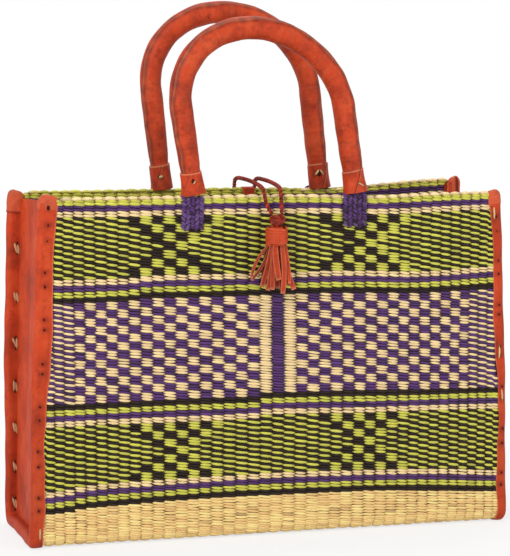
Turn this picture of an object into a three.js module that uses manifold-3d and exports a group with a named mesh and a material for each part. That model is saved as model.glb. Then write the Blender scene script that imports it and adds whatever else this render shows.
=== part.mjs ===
// A woven straw shopper. One straw mat is folded into front, base and back. Leather gussets close the
// two ends, and a folded leather binding holds mat and gusset together along each edge. Two arched
// handles stand on the rims, and a leather tassel hangs in front on two braided cords.
// Millimetres, +Z up, front towards -Y. The origin is on the floor under the middle of the bag.
import * as THREE from 'three';
import { mergeVertices } from 'three/addons/utils/BufferGeometryUtils.js';
import loadManifold from 'manifold-3d';

// Bag
const bagWidth = 434;            // over the leather edges, at the base
const rimNarrowing = 17;         // the rim is this much narrower than the base
const rimHeight = 298;           // floor to the top of the rim
const baseDepth = 125;           // front face to back face, at the base
const mouthDepthLeft = 138;      // the mouth is pulled open at its left end
const mouthDepthRight = 102;     // and half folded at its right end
const cornerRadius = 11;         // where the mat turns under the base
const matThickness = 5;
const rimBraidHeight = 7;        // plaited edge on top of the mat
const rimBraidOverhang = 0.5;    // it stands this far past each face of the mat
const clearance = 0.3;           // between pieces that touch

// Leather ends
const bindingLeather = 1.8;
const bindingFace = 13;          // width of the strip on the outer face of the mat
const bindingLap = 11;           // width of the strip inside the end recess
const gussetLeather = 1.5;
const gussetDrop = 3;            // top edge of the gusset below the rim
const leftGussetFold = 3;        // how far the top of each gusset folds into the bag
const rightGussetFold = 10;
const capFlapOuter = 10;         // corner caps: length of the flap on the outer face
const capFlapInner = 20;         // and of the flap in the end recess

// Handles
const handleHalfSpan = 74;       // half the distance between the feet of one handle
const archRise = 69;             // height of the round part of the arch
const frontHandleHeight = 141;   // rim to the centre line at the top
const backHandleHeight = 156;
const frontHandleOffset = -4;    // middle of the feet from the middle of the bag
const backHandleOffset = 1;
const frontHandleSway = -21;     // the arches lean to the left by this much at the top
const backHandleSway = -17;
const handleRadius = 9.5;
const handleLeather = 1.6;
const cuffHeight = 19;           // rim to the top of the leather cuff
const cuffStep = 0.4;            // the cuff stands this far out from the cover above it
const cuffFlare = 1.7;           // and widens sideways by this much to its foot
const footRounding = 0.4;        // the foot is round about the tilting line, this much outside the cuff
const footSeat = 0.4;            // between the foot and the rim

// Straw lashings under the handle feet
const lashingTopWidth = 20;
const lashingFootWidth = 24;
const lashingTop = 3;            // below the top of the rim
const lashingHeight = 31;
const lashingThickness = 2.2;
const lashingBevel = 0.8;

// Closure: leather tab on the back rim, two cords, tassel
const tabCentre = 8.5;
const tabWidth = 11;
const tabOuterWidth = 27;        // the part of the tab that the cords leave
const tabLeather = 1.5;
const tabOuterFlap = 14;         // below the top of the rim
const tabInnerFlap = 8;
const cordRadius = 2;
const tasselX = -5.5;
const tasselStandOff = 1.1;      // from the front face to the wound head of the tassel
const knotDrop = 23.5;           // centre of the knot below the rim
const knotHalfLength = 7;
const knotRadius = 5.6;
const neckGap = 0.6;             // between the knot and the head, which tilt on each other
const headRadius = 8.1;
const headMargin = 0.4;          // the head shows this much above and below the lace
const laceThickness = 1.3;
const laceWidth = 2.1;
const laceTurns = 5;
const laceGap = 0.6;             // between one turn and the next
const fringeLength = 44;
const fringeStrips = 9;
const stripWidth = 5;
const stripThickness = 1.2;
const fringeSpreadX = 17;
const fringeSpreadY = 7.5;
const fringeFlare = 1.5;         // power of the curve by which the strips spread
const fringeMeanLength = 0.88;   // of the longest strip
const fringeWaves = 3;           // long and short strips take turns this often round the head

// Finishes
const strawColour = 0xd9b66b;
const rimStrawColour = 0xc9c14a;
const purpleStrawColour = 0x46236e;
const leatherColour = 0xc84b28;
const darkLeatherColour = 0x9a3323;
const coreColour = 0xb08a4a;

// Facets
const tubeSides = 12;
const archSteps = 36;
const cuffSides = 16;
const cordSides = 8;
const cordSteps = 40;
const wallSteps = 6;
const cornerSteps = 5;
const baseSteps = 3;
const widthSteps = 10;
const panelSteps = 8;
const crownSteps = 6;
const knotSides = 16;
const knotSteps = 10;
const headSides = 24;
const laceTurnSteps = 24;
const laceSides = 6;
const stripStations = [0, 0.25, 0.6, 1];

const wasm = await loadManifold();
wasm.setup();
const bag = new THREE.Group();
bag.name = 'straw_shopper';

const halfWidth = bagWidth / 2;
const halfDepth = baseDepth / 2;
const gussetFlange = matThickness + clearance;                      // outer face of the flange
const bindingInside = gussetFlange + gussetLeather + clearance;     // outer face of the inner strip
const boundEdge = bindingInside + bindingLeather;                   // whole thickness of a bound edge
const recess = bindingLap + clearance;                              // gusset panel behind the bag's end
const matEdge = halfWidth - bindingLeather - clearance;
const faceEdge = halfWidth - bindingFace - clearance;
const matTop = rimHeight - rimBraidHeight - clearance;
const bindingTop = rimHeight - bindingLeather - clearance;
const rimScale = 1 - rimNarrowing / bagWidth;
const rimWidth = bagWidth - rimNarrowing;
const coverBore = handleRadius - handleLeather;
const coreRadius = coverBore - clearance;
const cuffRadius = handleRadius + cuffStep;
const footRadius = cuffRadius + footRounding;
const tiltHeight = footSeat + footRadius;                           // tilting line above the rim
const coreFoot = Math.sqrt(footRadius ** 2 - coreRadius ** 2) - clearance;
const lacePitch = laceWidth + laceGap;
const headHeight = laceTurns * lacePitch + laceWidth + 2 * headMargin;
const tasselAxisOffset = headRadius + clearance + laceThickness + tasselStandOff;

// Bag shape

function mouthDepth(along) {
  const middle = (mouthDepthLeft + mouthDepthRight) / 2;
  return middle + (mouthDepthRight - mouthDepthLeft) * along;
}

// Pieces of the bag are drawn on an upright box. This moves a point of that box to where it lies on
// the real bag, whose rim is narrower and whose mouth is deeper at one end than at the other.
function bagForm(point) {
  const up = point.z / rimHeight;
  const along = point.x / bagWidth;
  const shift = (mouthDepth(along) - baseDepth) / 2 * up;
  const wall = THREE.MathUtils.clamp(point.y / (halfDepth - boundEdge), -1, 1);
  return new THREE.Vector3(point.x - along * rimNarrowing * up, point.y + wall * shift, point.z);
}

// Places along the outer face of the mat: front rim, down, under the base and up to the back rim.
function matFrames(top) {
  const flat = halfDepth - cornerRadius;
  const frames = [];
  const wall = (side, step) => {
    const z = THREE.MathUtils.lerp(top, cornerRadius, step / wallSteps);
    frames.push({ y: side * halfDepth, z, ny: side, nz: 0 });
  };
  const corner = (side, angle) => {
    const ny = side * Math.cos(angle);
    const nz = -Math.sin(angle);
    frames.push({ y: side * flat + cornerRadius * ny, z: cornerRadius + cornerRadius * nz, ny, nz });
  };
  for (let i = 0; i < wallSteps; i++) wall(-1, i);
  for (let i = 0; i <= cornerSteps; i++) corner(-1, i / cornerSteps * Math.PI / 2);
  for (let i = 1; i < baseSteps; i++) {
    frames.push({ y: THREE.MathUtils.lerp(-flat, flat, i / baseSteps), z: 0, ny: 0, nz: -1 });
  }
  for (let i = cornerSteps; i >= 0; i--) corner(1, i / cornerSteps * Math.PI / 2);
  for (let i = wallSteps - 1; i >= 0; i--) wall(1, i);
  return frames;
}

// Solids

function solid(points, faces) {
  let volume = 0;
  for (const [a, b, c] of faces) volume += points[a].dot(points[b].clone().cross(points[c]));
  const index = volume < 0 ? faces.map(([a, b, c]) => [a, c, b]) : faces;
  const geometry = new THREE.BufferGeometry().setFromPoints(points);
  geometry.setIndex(index.flat());
  geometry.computeVertexNormals();
  return geometry;
}

function sideFaces(ringCount, count, closed) {
  const faces = [];
  const at = (ring, i) => (ring % ringCount) * count + (i % count);
  for (let ring = 0; ring < ringCount - (closed ? 0 : 1); ring++) {
    for (let i = 0; i < count; i++) {
      faces.push([at(ring, i), at(ring, i + 1), at(ring + 1, i + 1)]);
      faces.push([at(ring, i), at(ring + 1, i + 1), at(ring + 1, i)]);
    }
  }
  return faces;
}

// A body through rings of points that all have as many points, closed at both ends. The outline is
// the shape of a ring on a plane.
function loft(rings, outline) {
  const count = outline.length;
  const faces = sideFaces(rings.length, count, false);
  const last = (rings.length - 1) * count;
  const clockwise = THREE.ShapeUtils.isClockWise(outline);
  for (const [a, b, c] of THREE.ShapeUtils.triangulateShape(outline, [])) {
    const [p, q, r] = clockwise ? [a, c, b] : [a, b, c];
    faces.push([p, r, q], [last + p, last + q, last + r]);
  }
  return solid(rings.flat(), faces);
}

// A body whose rings close on the first one, such as a sleeve: down the outside and up the inside.
function loftLoop(rings) {
  return solid(rings.flat(), sideFaces(rings.length, rings[0].length, true));
}

function merged(geometry) {
  const bare = geometry.clone();
  bare.deleteAttribute('normal');
  bare.deleteAttribute('uv');
  return mergeVertices(bare, 1e-4);
}

function closedBody(geometry) {
  const clean = merged(geometry);
  const position = clean.getAttribute('position');
  const points = [];
  for (let i = 0; i < position.count; i++) points.push(new THREE.Vector3().fromBufferAttribute(position, i));
  const faces = [];
  const index = clean.getIndex().array;
  for (let i = 0; i < index.length; i += 3) faces.push([index[i], index[i + 1], index[i + 2]]);
  return solid(points, faces);
}

function toManifold(geometry) {
  const clean = merged(geometry);
  const vertProperties = new Float32Array(clean.getAttribute('position').array);
  const triVerts = new Uint32Array(clean.getIndex().array);
  return new wasm.Manifold(new wasm.Mesh({ numProp: 3, vertProperties, triVerts }));
}

function join(geometries) {
  const mesh = geometries.map(toManifold).reduce((whole, piece) => whole.add(piece)).getMesh();
  const joined = new THREE.BufferGeometry();
  joined.setAttribute('position', new THREE.BufferAttribute(mesh.vertProperties, 3));
  joined.setIndex(new THREE.BufferAttribute(mesh.triVerts, 1));
  joined.computeVertexNormals();
  return joined;
}

function onBag(geometry) {
  const position = geometry.getAttribute('position');
  for (let i = 0; i < position.count; i++) {
    const place = bagForm(new THREE.Vector3().fromBufferAttribute(position, i));
    position.setXYZ(i, place.x, place.y, place.z);
  }
  geometry.computeVertexNormals();
  return geometry;
}

// A section of [x, height above the outer face of the mat], carried along the mat.
function alongMat(section, top) {
  const rings = matFrames(top).map(({ y, z, ny, nz }) =>
    section.map(([x, out]) => new THREE.Vector3(x, y + out * ny, z + out * nz)));
  return loft(rings, section.map(([x, out]) => new THREE.Vector2(x, out)));
}

// A profile of [height above the outer face, z] on the front or back wall, between two places in x.
function alongRim(profile, side, from, to) {
  const ring = (x) => profile.map(([out, z]) => new THREE.Vector3(x, side * (halfDepth + out), z));
  return loft([ring(from), ring(to)], profile.map(([out, z]) => new THREE.Vector2(out, z)));
}

function arcPoints(centreX, centreY, radius, from, to, steps) {
  const points = [];
  for (let i = 0; i <= steps; i++) {
    const angle = THREE.MathUtils.lerp(from, to, i / steps);
    points.push([centreX + radius * Math.cos(angle), centreY + radius * Math.sin(angle)]);
  }
  return points;
}

function addPiece(parent, name, geometry, colour, roughness) {
  const material = new THREE.MeshStandardMaterial({ color: colour, roughness, metalness: 0 });
  const mesh = new THREE.Mesh(geometry, material);
  mesh.name = name;
  parent.add(mesh);
}

// Mat, with thinner edges that the leather grips
const gripped = -(bindingLeather + clearance);
const across = (i) => THREE.MathUtils.lerp(-faceEdge, faceEdge, i / widthSteps);
const matSection = [[-matEdge, gripped], [-faceEdge, gripped]];
for (let i = 0; i <= widthSteps; i++) matSection.push([across(i), 0]);
matSection.push([faceEdge, gripped], [matEdge, gripped], [matEdge, -matThickness]);
for (let i = widthSteps; i >= 0; i--) matSection.push([across(i), -matThickness]);
matSection.push([-matEdge, -matThickness]);
addPiece(bag, 'woven_mat', onBag(alongMat(matSection, matTop)), strawColour, 0.75);

// Plaited rims
function rimBraid(side) {
  const bottom = rimHeight - rimBraidHeight;
  const outer = rimBraidOverhang;
  const inner = -matThickness - rimBraidOverhang;
  const radius = (outer - inner) / 2;
  const middle = (outer + inner) / 2;
  const profile = [[outer, bottom], ...arcPoints(middle, rimHeight - radius, radius, 0, Math.PI, crownSteps)];
  profile.push([inner, bottom]);
  return onBag(alongRim(profile, side, -faceEdge, faceEdge));
}
addPiece(bag, 'front_rim_braid', rimBraid(-1), rimStrawColour, 0.7);
addPiece(bag, 'back_rim_braid', rimBraid(1), rimStrawColour, 0.7);

// Leather ends. End is -1 on the left and 1 on the right.
function gusset(end, fold) {
  const top = rimHeight - gussetDrop;
  const outside = halfWidth - recess;
  const inside = outside - gussetLeather;
  const flangeOuter = -gussetFlange;
  const flangeInner = -gussetFlange - gussetLeather;
  const flangeSection = [[matEdge, flangeOuter], [matEdge, flangeInner], [inside, flangeInner],
    [inside, flangeOuter]].map(([x, out]) => [end * x, out]);
  const flange = alongMat(flangeSection, bindingTop);

  const seat = gussetFlange + gussetLeather / 2;
  const bendRadius = cornerRadius - seat;
  const levels = [];
  for (let i = 0; i <= cornerSteps; i++) {
    const angle = i / cornerSteps * Math.PI / 2;
    levels.push([cornerRadius - bendRadius * Math.cos(angle), bendRadius * Math.sin(angle)]);
  }
  for (let i = 1; i <= wallSteps; i++) {
    levels.push([THREE.MathUtils.lerp(cornerRadius, top, i / wallSteps), bendRadius]);
  }
  const rings = levels.map(([z, bend]) => {
    const half = halfDepth - cornerRadius + bend;
    const ring = [];
    const folded = (x, share) => x - fold * (1 - Math.abs(share)) * (z / top) ** 2;
    for (let i = 0; i <= panelSteps; i++) {
      const share = i / panelSteps * 2 - 1;
      ring.push(new THREE.Vector3(end * folded(outside, share), share * half, z));
    }
    for (let i = panelSteps; i >= 0; i--) {
      const share = i / panelSteps * 2 - 1;
      ring.push(new THREE.Vector3(end * folded(inside, share), share * half, z));
    }
    return ring;
  });
  const panel = loft(rings, rings[0].map((point) => new THREE.Vector2(point.x, point.y)));
  return onBag(join([flange, panel]));
}

function binding(end) {
  const section = [[halfWidth - bindingFace, 0], [halfWidth, 0], [halfWidth, -boundEdge],
    [halfWidth - bindingLap, -boundEdge], [halfWidth - bindingLap, -bindingInside],
    [halfWidth - bindingLeather, -bindingInside], [halfWidth - bindingLeather, -bindingLeather],
    [halfWidth - bindingFace, -bindingLeather]].map(([x, out]) => [end * x, out]);
  return onBag(alongMat(section, bindingTop));
}

// Cap of folded leather over the top of a bound edge
function cornerCap(end, side) {
  const outer = clearance;
  const inner = -boundEdge - clearance;
  const middle = (outer + inner) / 2;
  const slot = (outer - inner) / 2;
  const slotTop = bindingTop + clearance;
  const crown = (radius) => arcPoints(middle, slotTop, radius, 0, Math.PI, crownSteps)
    .map(([out, z]) => [out, slotTop + (z - slotTop) * bindingLeather / (slot + bindingLeather)]);
  const profile = [[outer, slotTop], [outer, slotTop - capFlapOuter],
    [outer + bindingLeather, slotTop - capFlapOuter], ...crown(slot + bindingLeather),
    [inner - bindingLeather, slotTop - capFlapInner], [inner, slotTop - capFlapInner], [inner, slotTop]];
  return onBag(alongRim(profile, side, end * (halfWidth - bindingLap), end * halfWidth));
}

for (const [endName, end, fold] of [['left', -1, leftGussetFold], ['right', 1, rightGussetFold]]) {
  addPiece(bag, `${endName}_gusset`, gusset(end, fold), leatherColour, 0.6);
  addPiece(bag, `${endName}_binding`, binding(end), leatherColour, 0.6);
  addPiece(bag, `${endName}_front_cap`, cornerCap(end, -1), leatherColour, 0.6);
  addPiece(bag, `${endName}_back_cap`, cornerCap(end, 1), leatherColour, 0.6);
}

// Handles. The origin of a handle is the middle of the line that it tilts on.

class HandleArch extends THREE.Curve {
  constructor(height, sway, from = 0, to = 1) {
    super();
    this.top = height - tiltHeight;
    this.sway = sway;
    this.spring = this.top - archRise;
    this.leg = this.spring + coreFoot;
    this.bow = Math.PI * (handleHalfSpan + archRise) / 2;
    this.whole = 2 * this.leg + this.bow;
    this.from = from;
    this.to = to;
  }

  // Share of the whole line at which the left leg is at this height.
  shareAt(z) {
    return (z + coreFoot) / this.whole;
  }

  between(from, to) {
    return new HandleArch(this.top + tiltHeight, this.sway, from, to);
  }

  leaning(x, z) {
    return new THREE.Vector3(x + this.sway * z / this.top, 0, z);
  }

  getPoint(t) {
    const run = THREE.MathUtils.lerp(this.from, this.to, t) * this.whole;
    if (run <= this.leg) return this.leaning(-handleHalfSpan, run - coreFoot);
    if (run >= this.leg + this.bow) return this.leaning(handleHalfSpan, this.whole - run - coreFoot);
    const angle = Math.PI * (1 - (run - this.leg) / this.bow);
    return this.leaning(handleHalfSpan * Math.cos(angle), this.spring + archRise * Math.sin(angle));
  }
}

function circle(radius, sides) {
  const points = arcPoints(0, 0, radius, 0, 2 * Math.PI, sides).slice(0, sides);
  return points.map(([x, y]) => new THREE.Vector2(x, y));
}

function tube(path, steps, radius, sides, bore = 0) {
  const shape = new THREE.Shape(circle(radius, sides));
  if (bore > 0) shape.holes.push(new THREE.Path(circle(bore, sides)));
  return closedBody(new THREE.ExtrudeGeometry(shape, { steps, extrudePath: path, bevelEnabled: false }));
}

// Sleeve on one foot: square to the leg on top, flared sideways, and cut round about the tilting line.
function cuff(arch, side) {
  const cuffTop = cuffHeight - tiltHeight - clearance;
  const bore = coverBore + clearance;
  const acrossLeg = new THREE.Vector3(arch.top, 0, -arch.sway).normalize();
  const angles = Array.from({ length: cuffSides }, (_, i) => i / cuffSides * 2 * Math.PI);
  const squareRing = (z, halfX, halfY) => angles.map((angle) => arch.leaning(side * handleHalfSpan, z)
    .addScaledVector(acrossLeg, halfX * Math.cos(angle)).setY(halfY * Math.sin(angle)));
  const footRing = (halfX, halfY) => angles.map((angle) => {
    const y = halfY * Math.sin(angle);
    const z = -Math.sqrt(footRadius ** 2 - y ** 2);
    return arch.leaning(side * handleHalfSpan + halfX * Math.cos(angle), z).setY(y);
  });
  const waist = cuffRadius + cuffFlare / 2;
  const foot = cuffRadius + cuffFlare;
  return loftLoop([squareRing(cuffTop, cuffRadius, cuffRadius), squareRing(0, waist, cuffRadius),
    footRing(foot, cuffRadius), footRing(bore, bore), squareRing(cuffTop, bore, bore)]);
}

function addHandle(name, side, height, offset, sway) {
  const rimSlope = (mouthDepthLeft - mouthDepthRight) / 2 / rimWidth;
  const along = offset / rimWidth;
  const handle = new THREE.Group();
  handle.position.set(offset, side * (mouthDepth(along) - matThickness) / 2, rimHeight + tiltHeight);
  handle.rotation.z = -side * Math.atan(rimSlope);
  bag.add(handle);

  const arch = new HandleArch(height, sway);
  const cuffShare = arch.shareAt(cuffHeight - tiltHeight);
  addPiece(handle, `${name}_handle_core`, tube(arch, archSteps, coreRadius, tubeSides), coreColour, 0.9);
  const covered = arch.between(cuffShare, 1 - cuffShare);
  const cover = tube(covered, archSteps, handleRadius, tubeSides, coverBore);
  addPiece(handle, `${name}_handle_cover`, cover, leatherColour, 0.55);
  addPiece(handle, `${name}_left_cuff`, cuff(arch, -1), leatherColour, 0.6);
  addPiece(handle, `${name}_right_cuff`, cuff(arch, 1), leatherColour, 0.6);
}
addHandle('front', -1, frontHandleHeight, frontHandleOffset, frontHandleSway);
addHandle('back', 1, backHandleHeight, backHandleOffset, backHandleSway);

// Lashing: a patch of purple straw woven onto the mat under each foot
function lashing(side, centre) {
  const top = rimHeight - lashingTop;
  const foot = top - lashingHeight;
  const round = lashingFootWidth / 4;
  const inner = halfDepth + rimBraidOverhang + clearance;
  const outline = (inset) => {
    const topHalf = lashingTopWidth / 2 - inset;
    const footHalf = lashingFootWidth / 2 - inset;
    return [[-topHalf, top - inset], [-footHalf, foot + round], [-footHalf + round, foot + inset],
      [footHalf - round, foot + inset], [footHalf, foot + round], [topHalf, top - inset]];
  };
  const ring = (out, inset) => outline(inset).map(([x, z]) => new THREE.Vector3(centre + x, side * out, z));
  const outer = inner + lashingThickness;
  const rings = [ring(inner, 0), ring(outer - lashingBevel, 0), ring(outer, lashingBevel)];
  return onBag(loft(rings, outline(0).map(([x, z]) => new THREE.Vector2(x, z))));
}
for (const [name, side, offset] of [['front', -1, frontHandleOffset], ['back', 1, backHandleOffset]]) {
  const place = (foot) => (offset + foot * handleHalfSpan) / rimScale;
  addPiece(bag, `${name}_left_lashing`, lashing(side, place(-1)), purpleStrawColour, 0.7);
  addPiece(bag, `${name}_right_lashing`, lashing(side, place(1)), purpleStrawColour, 0.7);
}

// Closure tab: a leather strip folded over the back rim
function closureTab() {
  const outer = rimBraidOverhang + clearance;
  const inner = -matThickness - outer;
  const slotTop = rimHeight + clearance;
  const outerFoot = rimHeight - tabOuterFlap;
  const innerFoot = rimHeight - tabInnerFlap;
  const saddle = [[outer, slotTop], [outer, outerFoot], [outer + tabLeather, outerFoot],
    [outer + tabLeather, slotTop + tabLeather], [inner - tabLeather, slotTop + tabLeather],
    [inner - tabLeather, innerFoot], [inner, innerFoot], [inner, slotTop]];
  const flapTop = rimHeight - rimBraidHeight;
  const flap = [[outer, flapTop], [outer, outerFoot], [outer + tabLeather, outerFoot],
    [outer + tabLeather, flapTop]];
  const strip = (profile, width) => alongRim(profile, 1, tabCentre - width / 2, tabCentre + width / 2);
  return onBag(join([strip(saddle, tabWidth), strip(flap, tabOuterWidth)]));
}
addPiece(bag, 'closure_tab', closureTab(), darkLeatherColour, 0.6);

// Cords: up the back of the tab, over the mouth and the front rim, down to the knot
const leftCordRoute = [[-2, 65, 285.5], [-2, 65, 291], [-2.2, 64.6, 296.6], [-3, 60.4, 302.2], [-4.2, 49, 305],
  [-5.8, 28, 305.8], [-7.8, 4, 305.7], [-9.8, -20, 305], [-11.8, -40, 303.9], [-13.2, -52, 302.8], [-14, -60, 300.8],
  [-14.4, -65.2, 295.8], [-13.8, -67.6, 290], [-12.2, -69.6, 285.5], [-10, -71.2, 281.4]];
const rightCordRoute = [[17, 64, 285.5], [17, 64, 291], [16.8, 63.6, 296.4], [16, 59.6, 301.8], [14.6, 48, 304.4],
  [12.6, 27, 305], [10, 3, 305], [7.4, -20, 304.4], [4.8, -40, 303.4], [2.9, -52, 302.4], [1.3, -59.4, 300.8],
  [0.4, -64.6, 295.8], [-0.2, -67.2, 290], [-0.6, -69.4, 285.5], [-1, -71.2, 281.4]];
function cord(route) {
  const path = new THREE.CatmullRomCurve3(route.map(([x, y, z]) => new THREE.Vector3(x, y, z)));
  return tube(path, cordSteps, cordRadius, cordSides);
}
addPiece(bag, 'left_closure_cord', cord(leftCordRoute), darkLeatherColour, 0.6);
addPiece(bag, 'right_closure_cord', cord(rightCordRoute), darkLeatherColour, 0.6);

// Tassel. Its origin is the centre of the knot.
const tassel = new THREE.Group();
const faceAtTassel = mouthDepth(tasselX / rimWidth) / 2;
tassel.position.set(tasselX, -(faceAtTassel + tasselAxisOffset), rimHeight - knotDrop);
bag.add(tassel);

function knot() {
  const profile = arcPoints(0, 0, 1, -Math.PI / 2, Math.PI / 2, knotSteps)
    .map(([x, y]) => new THREE.Vector2(Math.max(x, 0) * knotRadius, y * knotHalfLength));
  profile[0].x = 0;
  profile[profile.length - 1].x = 0;
  return closedBody(new THREE.LatheGeometry(profile, knotSides).rotateZ(Math.PI / 2));
}

const headTop = -(knotRadius + neckGap);
const headFoot = headTop - headHeight;

function fringe() {
  const head = new THREE.CylinderGeometry(headRadius, headRadius, headHeight, headSides).rotateX(Math.PI / 2);
  head.translate(0, 0, (headTop + headFoot) / 2);
  const strips = [];
  const rootRadius = headRadius - stripThickness;
  const inHead = headFoot + stripWidth;
  for (let i = 0; i < fringeStrips; i++) {
    const angle = (i + 0.5) / fringeStrips * 2 * Math.PI;
    const outX = Math.cos(angle);
    const outY = Math.sin(angle);
    const uneven = (1 - fringeMeanLength) * Math.cos(fringeWaves * angle);
    const length = fringeLength * (fringeMeanLength + uneven);
    const rings = stripStations.map((share) => {
      const spread = share ** fringeFlare;
      const x = outX * THREE.MathUtils.lerp(rootRadius, fringeSpreadX, spread);
      const y = outY * THREE.MathUtils.lerp(rootRadius, fringeSpreadY, spread);
      const z = inHead - share * (length + stripWidth);
      const corner = (wide, thick) =>
        new THREE.Vector3(x - outY * wide + outX * thick, y + outX * wide + outY * thick, z);
      const wide = stripWidth / 2;
      const thick = stripThickness / 2;
      return [corner(-wide, -thick), corner(wide, -thick), corner(wide, thick), corner(-wide, thick)];
    });
    const outline = [[-1, -1], [1, -1], [1, 1], [-1, 1]].map(([x, y]) => new THREE.Vector2(x, y));
    strips.push(loft(rings, outline));
  }
  return join([head, ...strips]);
}

// Flat lace wound round the head in one unbroken run, with a straight end at each side
function lace() {
  const radius = headRadius + clearance + laceThickness / 2;
  const steps = laceTurns * laceTurnSteps;
  const start = (headTop + headFoot) / 2 + lacePitch * laceTurns / 2;
  const rings = [];
  const addRing = (angle, z, ahead) => {
    const out = new THREE.Vector3(Math.cos(angle), Math.sin(angle), 0);
    const forward = new THREE.Vector3(-out.y, out.x, 0);
    const centre = out.clone().multiplyScalar(radius).addScaledVector(forward, ahead).setZ(z);
    const points = [];
    for (let i = 0; i < laceSides; i++) {
      const turn = i / laceSides * 2 * Math.PI;
      const point = centre.clone().addScaledVector(out, laceThickness / 2 * Math.cos(turn));
      point.z += laceWidth / 2 * Math.sin(turn);
      points.push(point);
    }
    rings.push(points);
  };
  addRing(0, start, -laceWidth);
  for (let i = 0; i <= steps; i++) {
    const turns = i / laceTurnSteps;
    addRing(turns * 2 * Math.PI, start - lacePitch * turns, 0);
  }
  addRing(laceTurns * 2 * Math.PI, start - lacePitch * laceTurns, laceWidth);

  let least = Infinity;
  rings.forEach((ring, i) => rings.slice(i + laceTurnSteps / 2).forEach((other) => {
    for (const a of ring) for (const b of other) least = Math.min(least, a.distanceTo(b));
  }));
  console.log(`tassel lace: least gap to itself ${least.toFixed(2)} mm`);
  return loft(rings, circle(1, laceSides));
}

addPiece(tassel, 'tassel_knot', knot(), darkLeatherColour, 0.6);
addPiece(tassel, 'tassel_lace', lace(), leatherColour, 0.6);
addPiece(tassel, 'tassel_fringe', fringe(), leatherColour, 0.6);

export default bag;
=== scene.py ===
"""Woven straw shopper with leather ends, arched leather handles and a tassel, dressed on its solid model."""

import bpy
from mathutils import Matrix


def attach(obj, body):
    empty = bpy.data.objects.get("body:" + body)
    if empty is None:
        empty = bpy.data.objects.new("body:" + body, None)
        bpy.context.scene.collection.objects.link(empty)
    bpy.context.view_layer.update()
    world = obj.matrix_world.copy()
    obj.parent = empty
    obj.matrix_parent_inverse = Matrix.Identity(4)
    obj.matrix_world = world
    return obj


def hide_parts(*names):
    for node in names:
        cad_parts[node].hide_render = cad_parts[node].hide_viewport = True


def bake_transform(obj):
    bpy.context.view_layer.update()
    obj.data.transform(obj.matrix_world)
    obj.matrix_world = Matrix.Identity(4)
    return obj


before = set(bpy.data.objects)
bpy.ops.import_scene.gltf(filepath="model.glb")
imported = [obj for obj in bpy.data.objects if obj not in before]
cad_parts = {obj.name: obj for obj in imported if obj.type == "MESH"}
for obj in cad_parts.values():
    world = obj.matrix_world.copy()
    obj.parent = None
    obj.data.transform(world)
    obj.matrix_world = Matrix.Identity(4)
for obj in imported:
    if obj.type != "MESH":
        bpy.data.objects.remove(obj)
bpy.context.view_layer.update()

import math

import bpy
import numpy as np
from bpy.props import FloatProperty, FloatVectorProperty, IntProperty, PointerProperty
from bpy.types import Operator, Panel, PropertyGroup
from mathutils import Matrix

bl_info = {
    "name": "Woven Straw Shopper",
    "version": (1, 0, 0),
    "blender": (4, 5, 0),
    "location": "View3D > Sidebar > Shopper",
    "description": "Dresses the solid model of a woven straw shopper with straw, leather and cords",
    "category": "Object",
}

MM = 0.001


# Settings


def length(name, description, millimetres):
    return FloatProperty(name=name, description=description, default=millimetres * MM, unit="LENGTH",
                         precision=4)


def angle(name, description, degrees):
    return FloatProperty(name=name, description=description, default=math.radians(degrees), subtype="ANGLE")


def dye(name, description, red, green, blue):
    return FloatVectorProperty(name=name, description=description, size=3, min=0, max=1,
                               subtype="COLOR_GAMMA", default=(red / 255, green / 255, blue / 255))


class ShopperBag(PropertyGroup):
    bag_width: length("Bag Width", "Over the leather edges, at the base", 434)
    rim_narrowing: length("Rim Narrowing", "How much narrower the rim is than the base", 17)
    rim_height: length("Rim Height", "Floor to the top of the rim", 298)
    base_depth: length("Base Depth", "Front face to back face, at the base", 125)
    mouth_left: length("Mouth Left", "Depth of the mouth at its left end", 138)
    mouth_right: length("Mouth Right", "Depth of the mouth at its right end", 102)
    corner_radius: length("Corner Radius", "Where the mat turns under the base", 11)
    rear_lift: length("Rear Lift", "How far the right corner of the back rim curls up", 7)
    rear_drop: length("Rear Drop", "How far the left end of the back rim hangs lower", 2.4)
    end_stand: length("End Stand", "How far the soft leather ends stand out half way up", 3.8)
    rear_tuck: length("Rear Tuck", "How far the left end of the base is drawn in at the back", 9)
    mat_thickness: length("Mat Thickness", "Outer to inner face of the woven mat", 5)
    bulge: length("Bulge", "How far the walls belly out between their edges", 2.5)
    binding_face: length("Binding Width", "Leather strip on the outer face of the mat", 13)
    binding_lap: length("Binding Lap", "Leather strip inside the end recess", 11)
    bound_edge: length("Bound Edge", "Whole thickness of a bound edge", 8.9)
    leather: length("Leather", "Thickness of the leather", 1.6)
    tab_middle: length("Tab Middle", "Middle of the closure tab", 8.5)


class ShopperWeave(PropertyGroup):
    columns: IntProperty(name="Columns", description="Ribs across the mat", default=41)
    column_width: length("Column Width", "A column in the middle of the mat", 11.2)
    crowding: FloatProperty(name="Crowding", description="How fast the columns narrow towards the ends",
                            default=0.00019)
    half_rows: IntProperty(name="Rows", description="Rows from a rim to the middle of the base", default=146)
    first_row: length("First Row", "Middle of the first row below the top of the rim", 4.2)
    stitch_height: length("Stitch Height", "One straw across", 2.5)
    stitch_thickness: length("Stitch Thickness", "How far one straw stands out", 2.3)
    seed: IntProperty(name="Seed", description="Seed of the handmade unevenness", default=7)
    natural: dye("Natural", "Undyed straw of the base", 238, 196, 128)
    cream: dye("Cream", "Bleached straw", 236, 206, 152)
    lime: dye("Lime", "Yellow green straw", 199, 196, 76)
    purple: dye("Purple", "Purple straw", 74, 42, 92)
    black: dye("Black", "Black straw", 38, 27, 20)
    # The ribs are real, but their dark dye is painted shade, seen in the gaps between the stitches.
    core: dye("Core", "Ribs between the two faces", 44, 28, 16)


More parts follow.
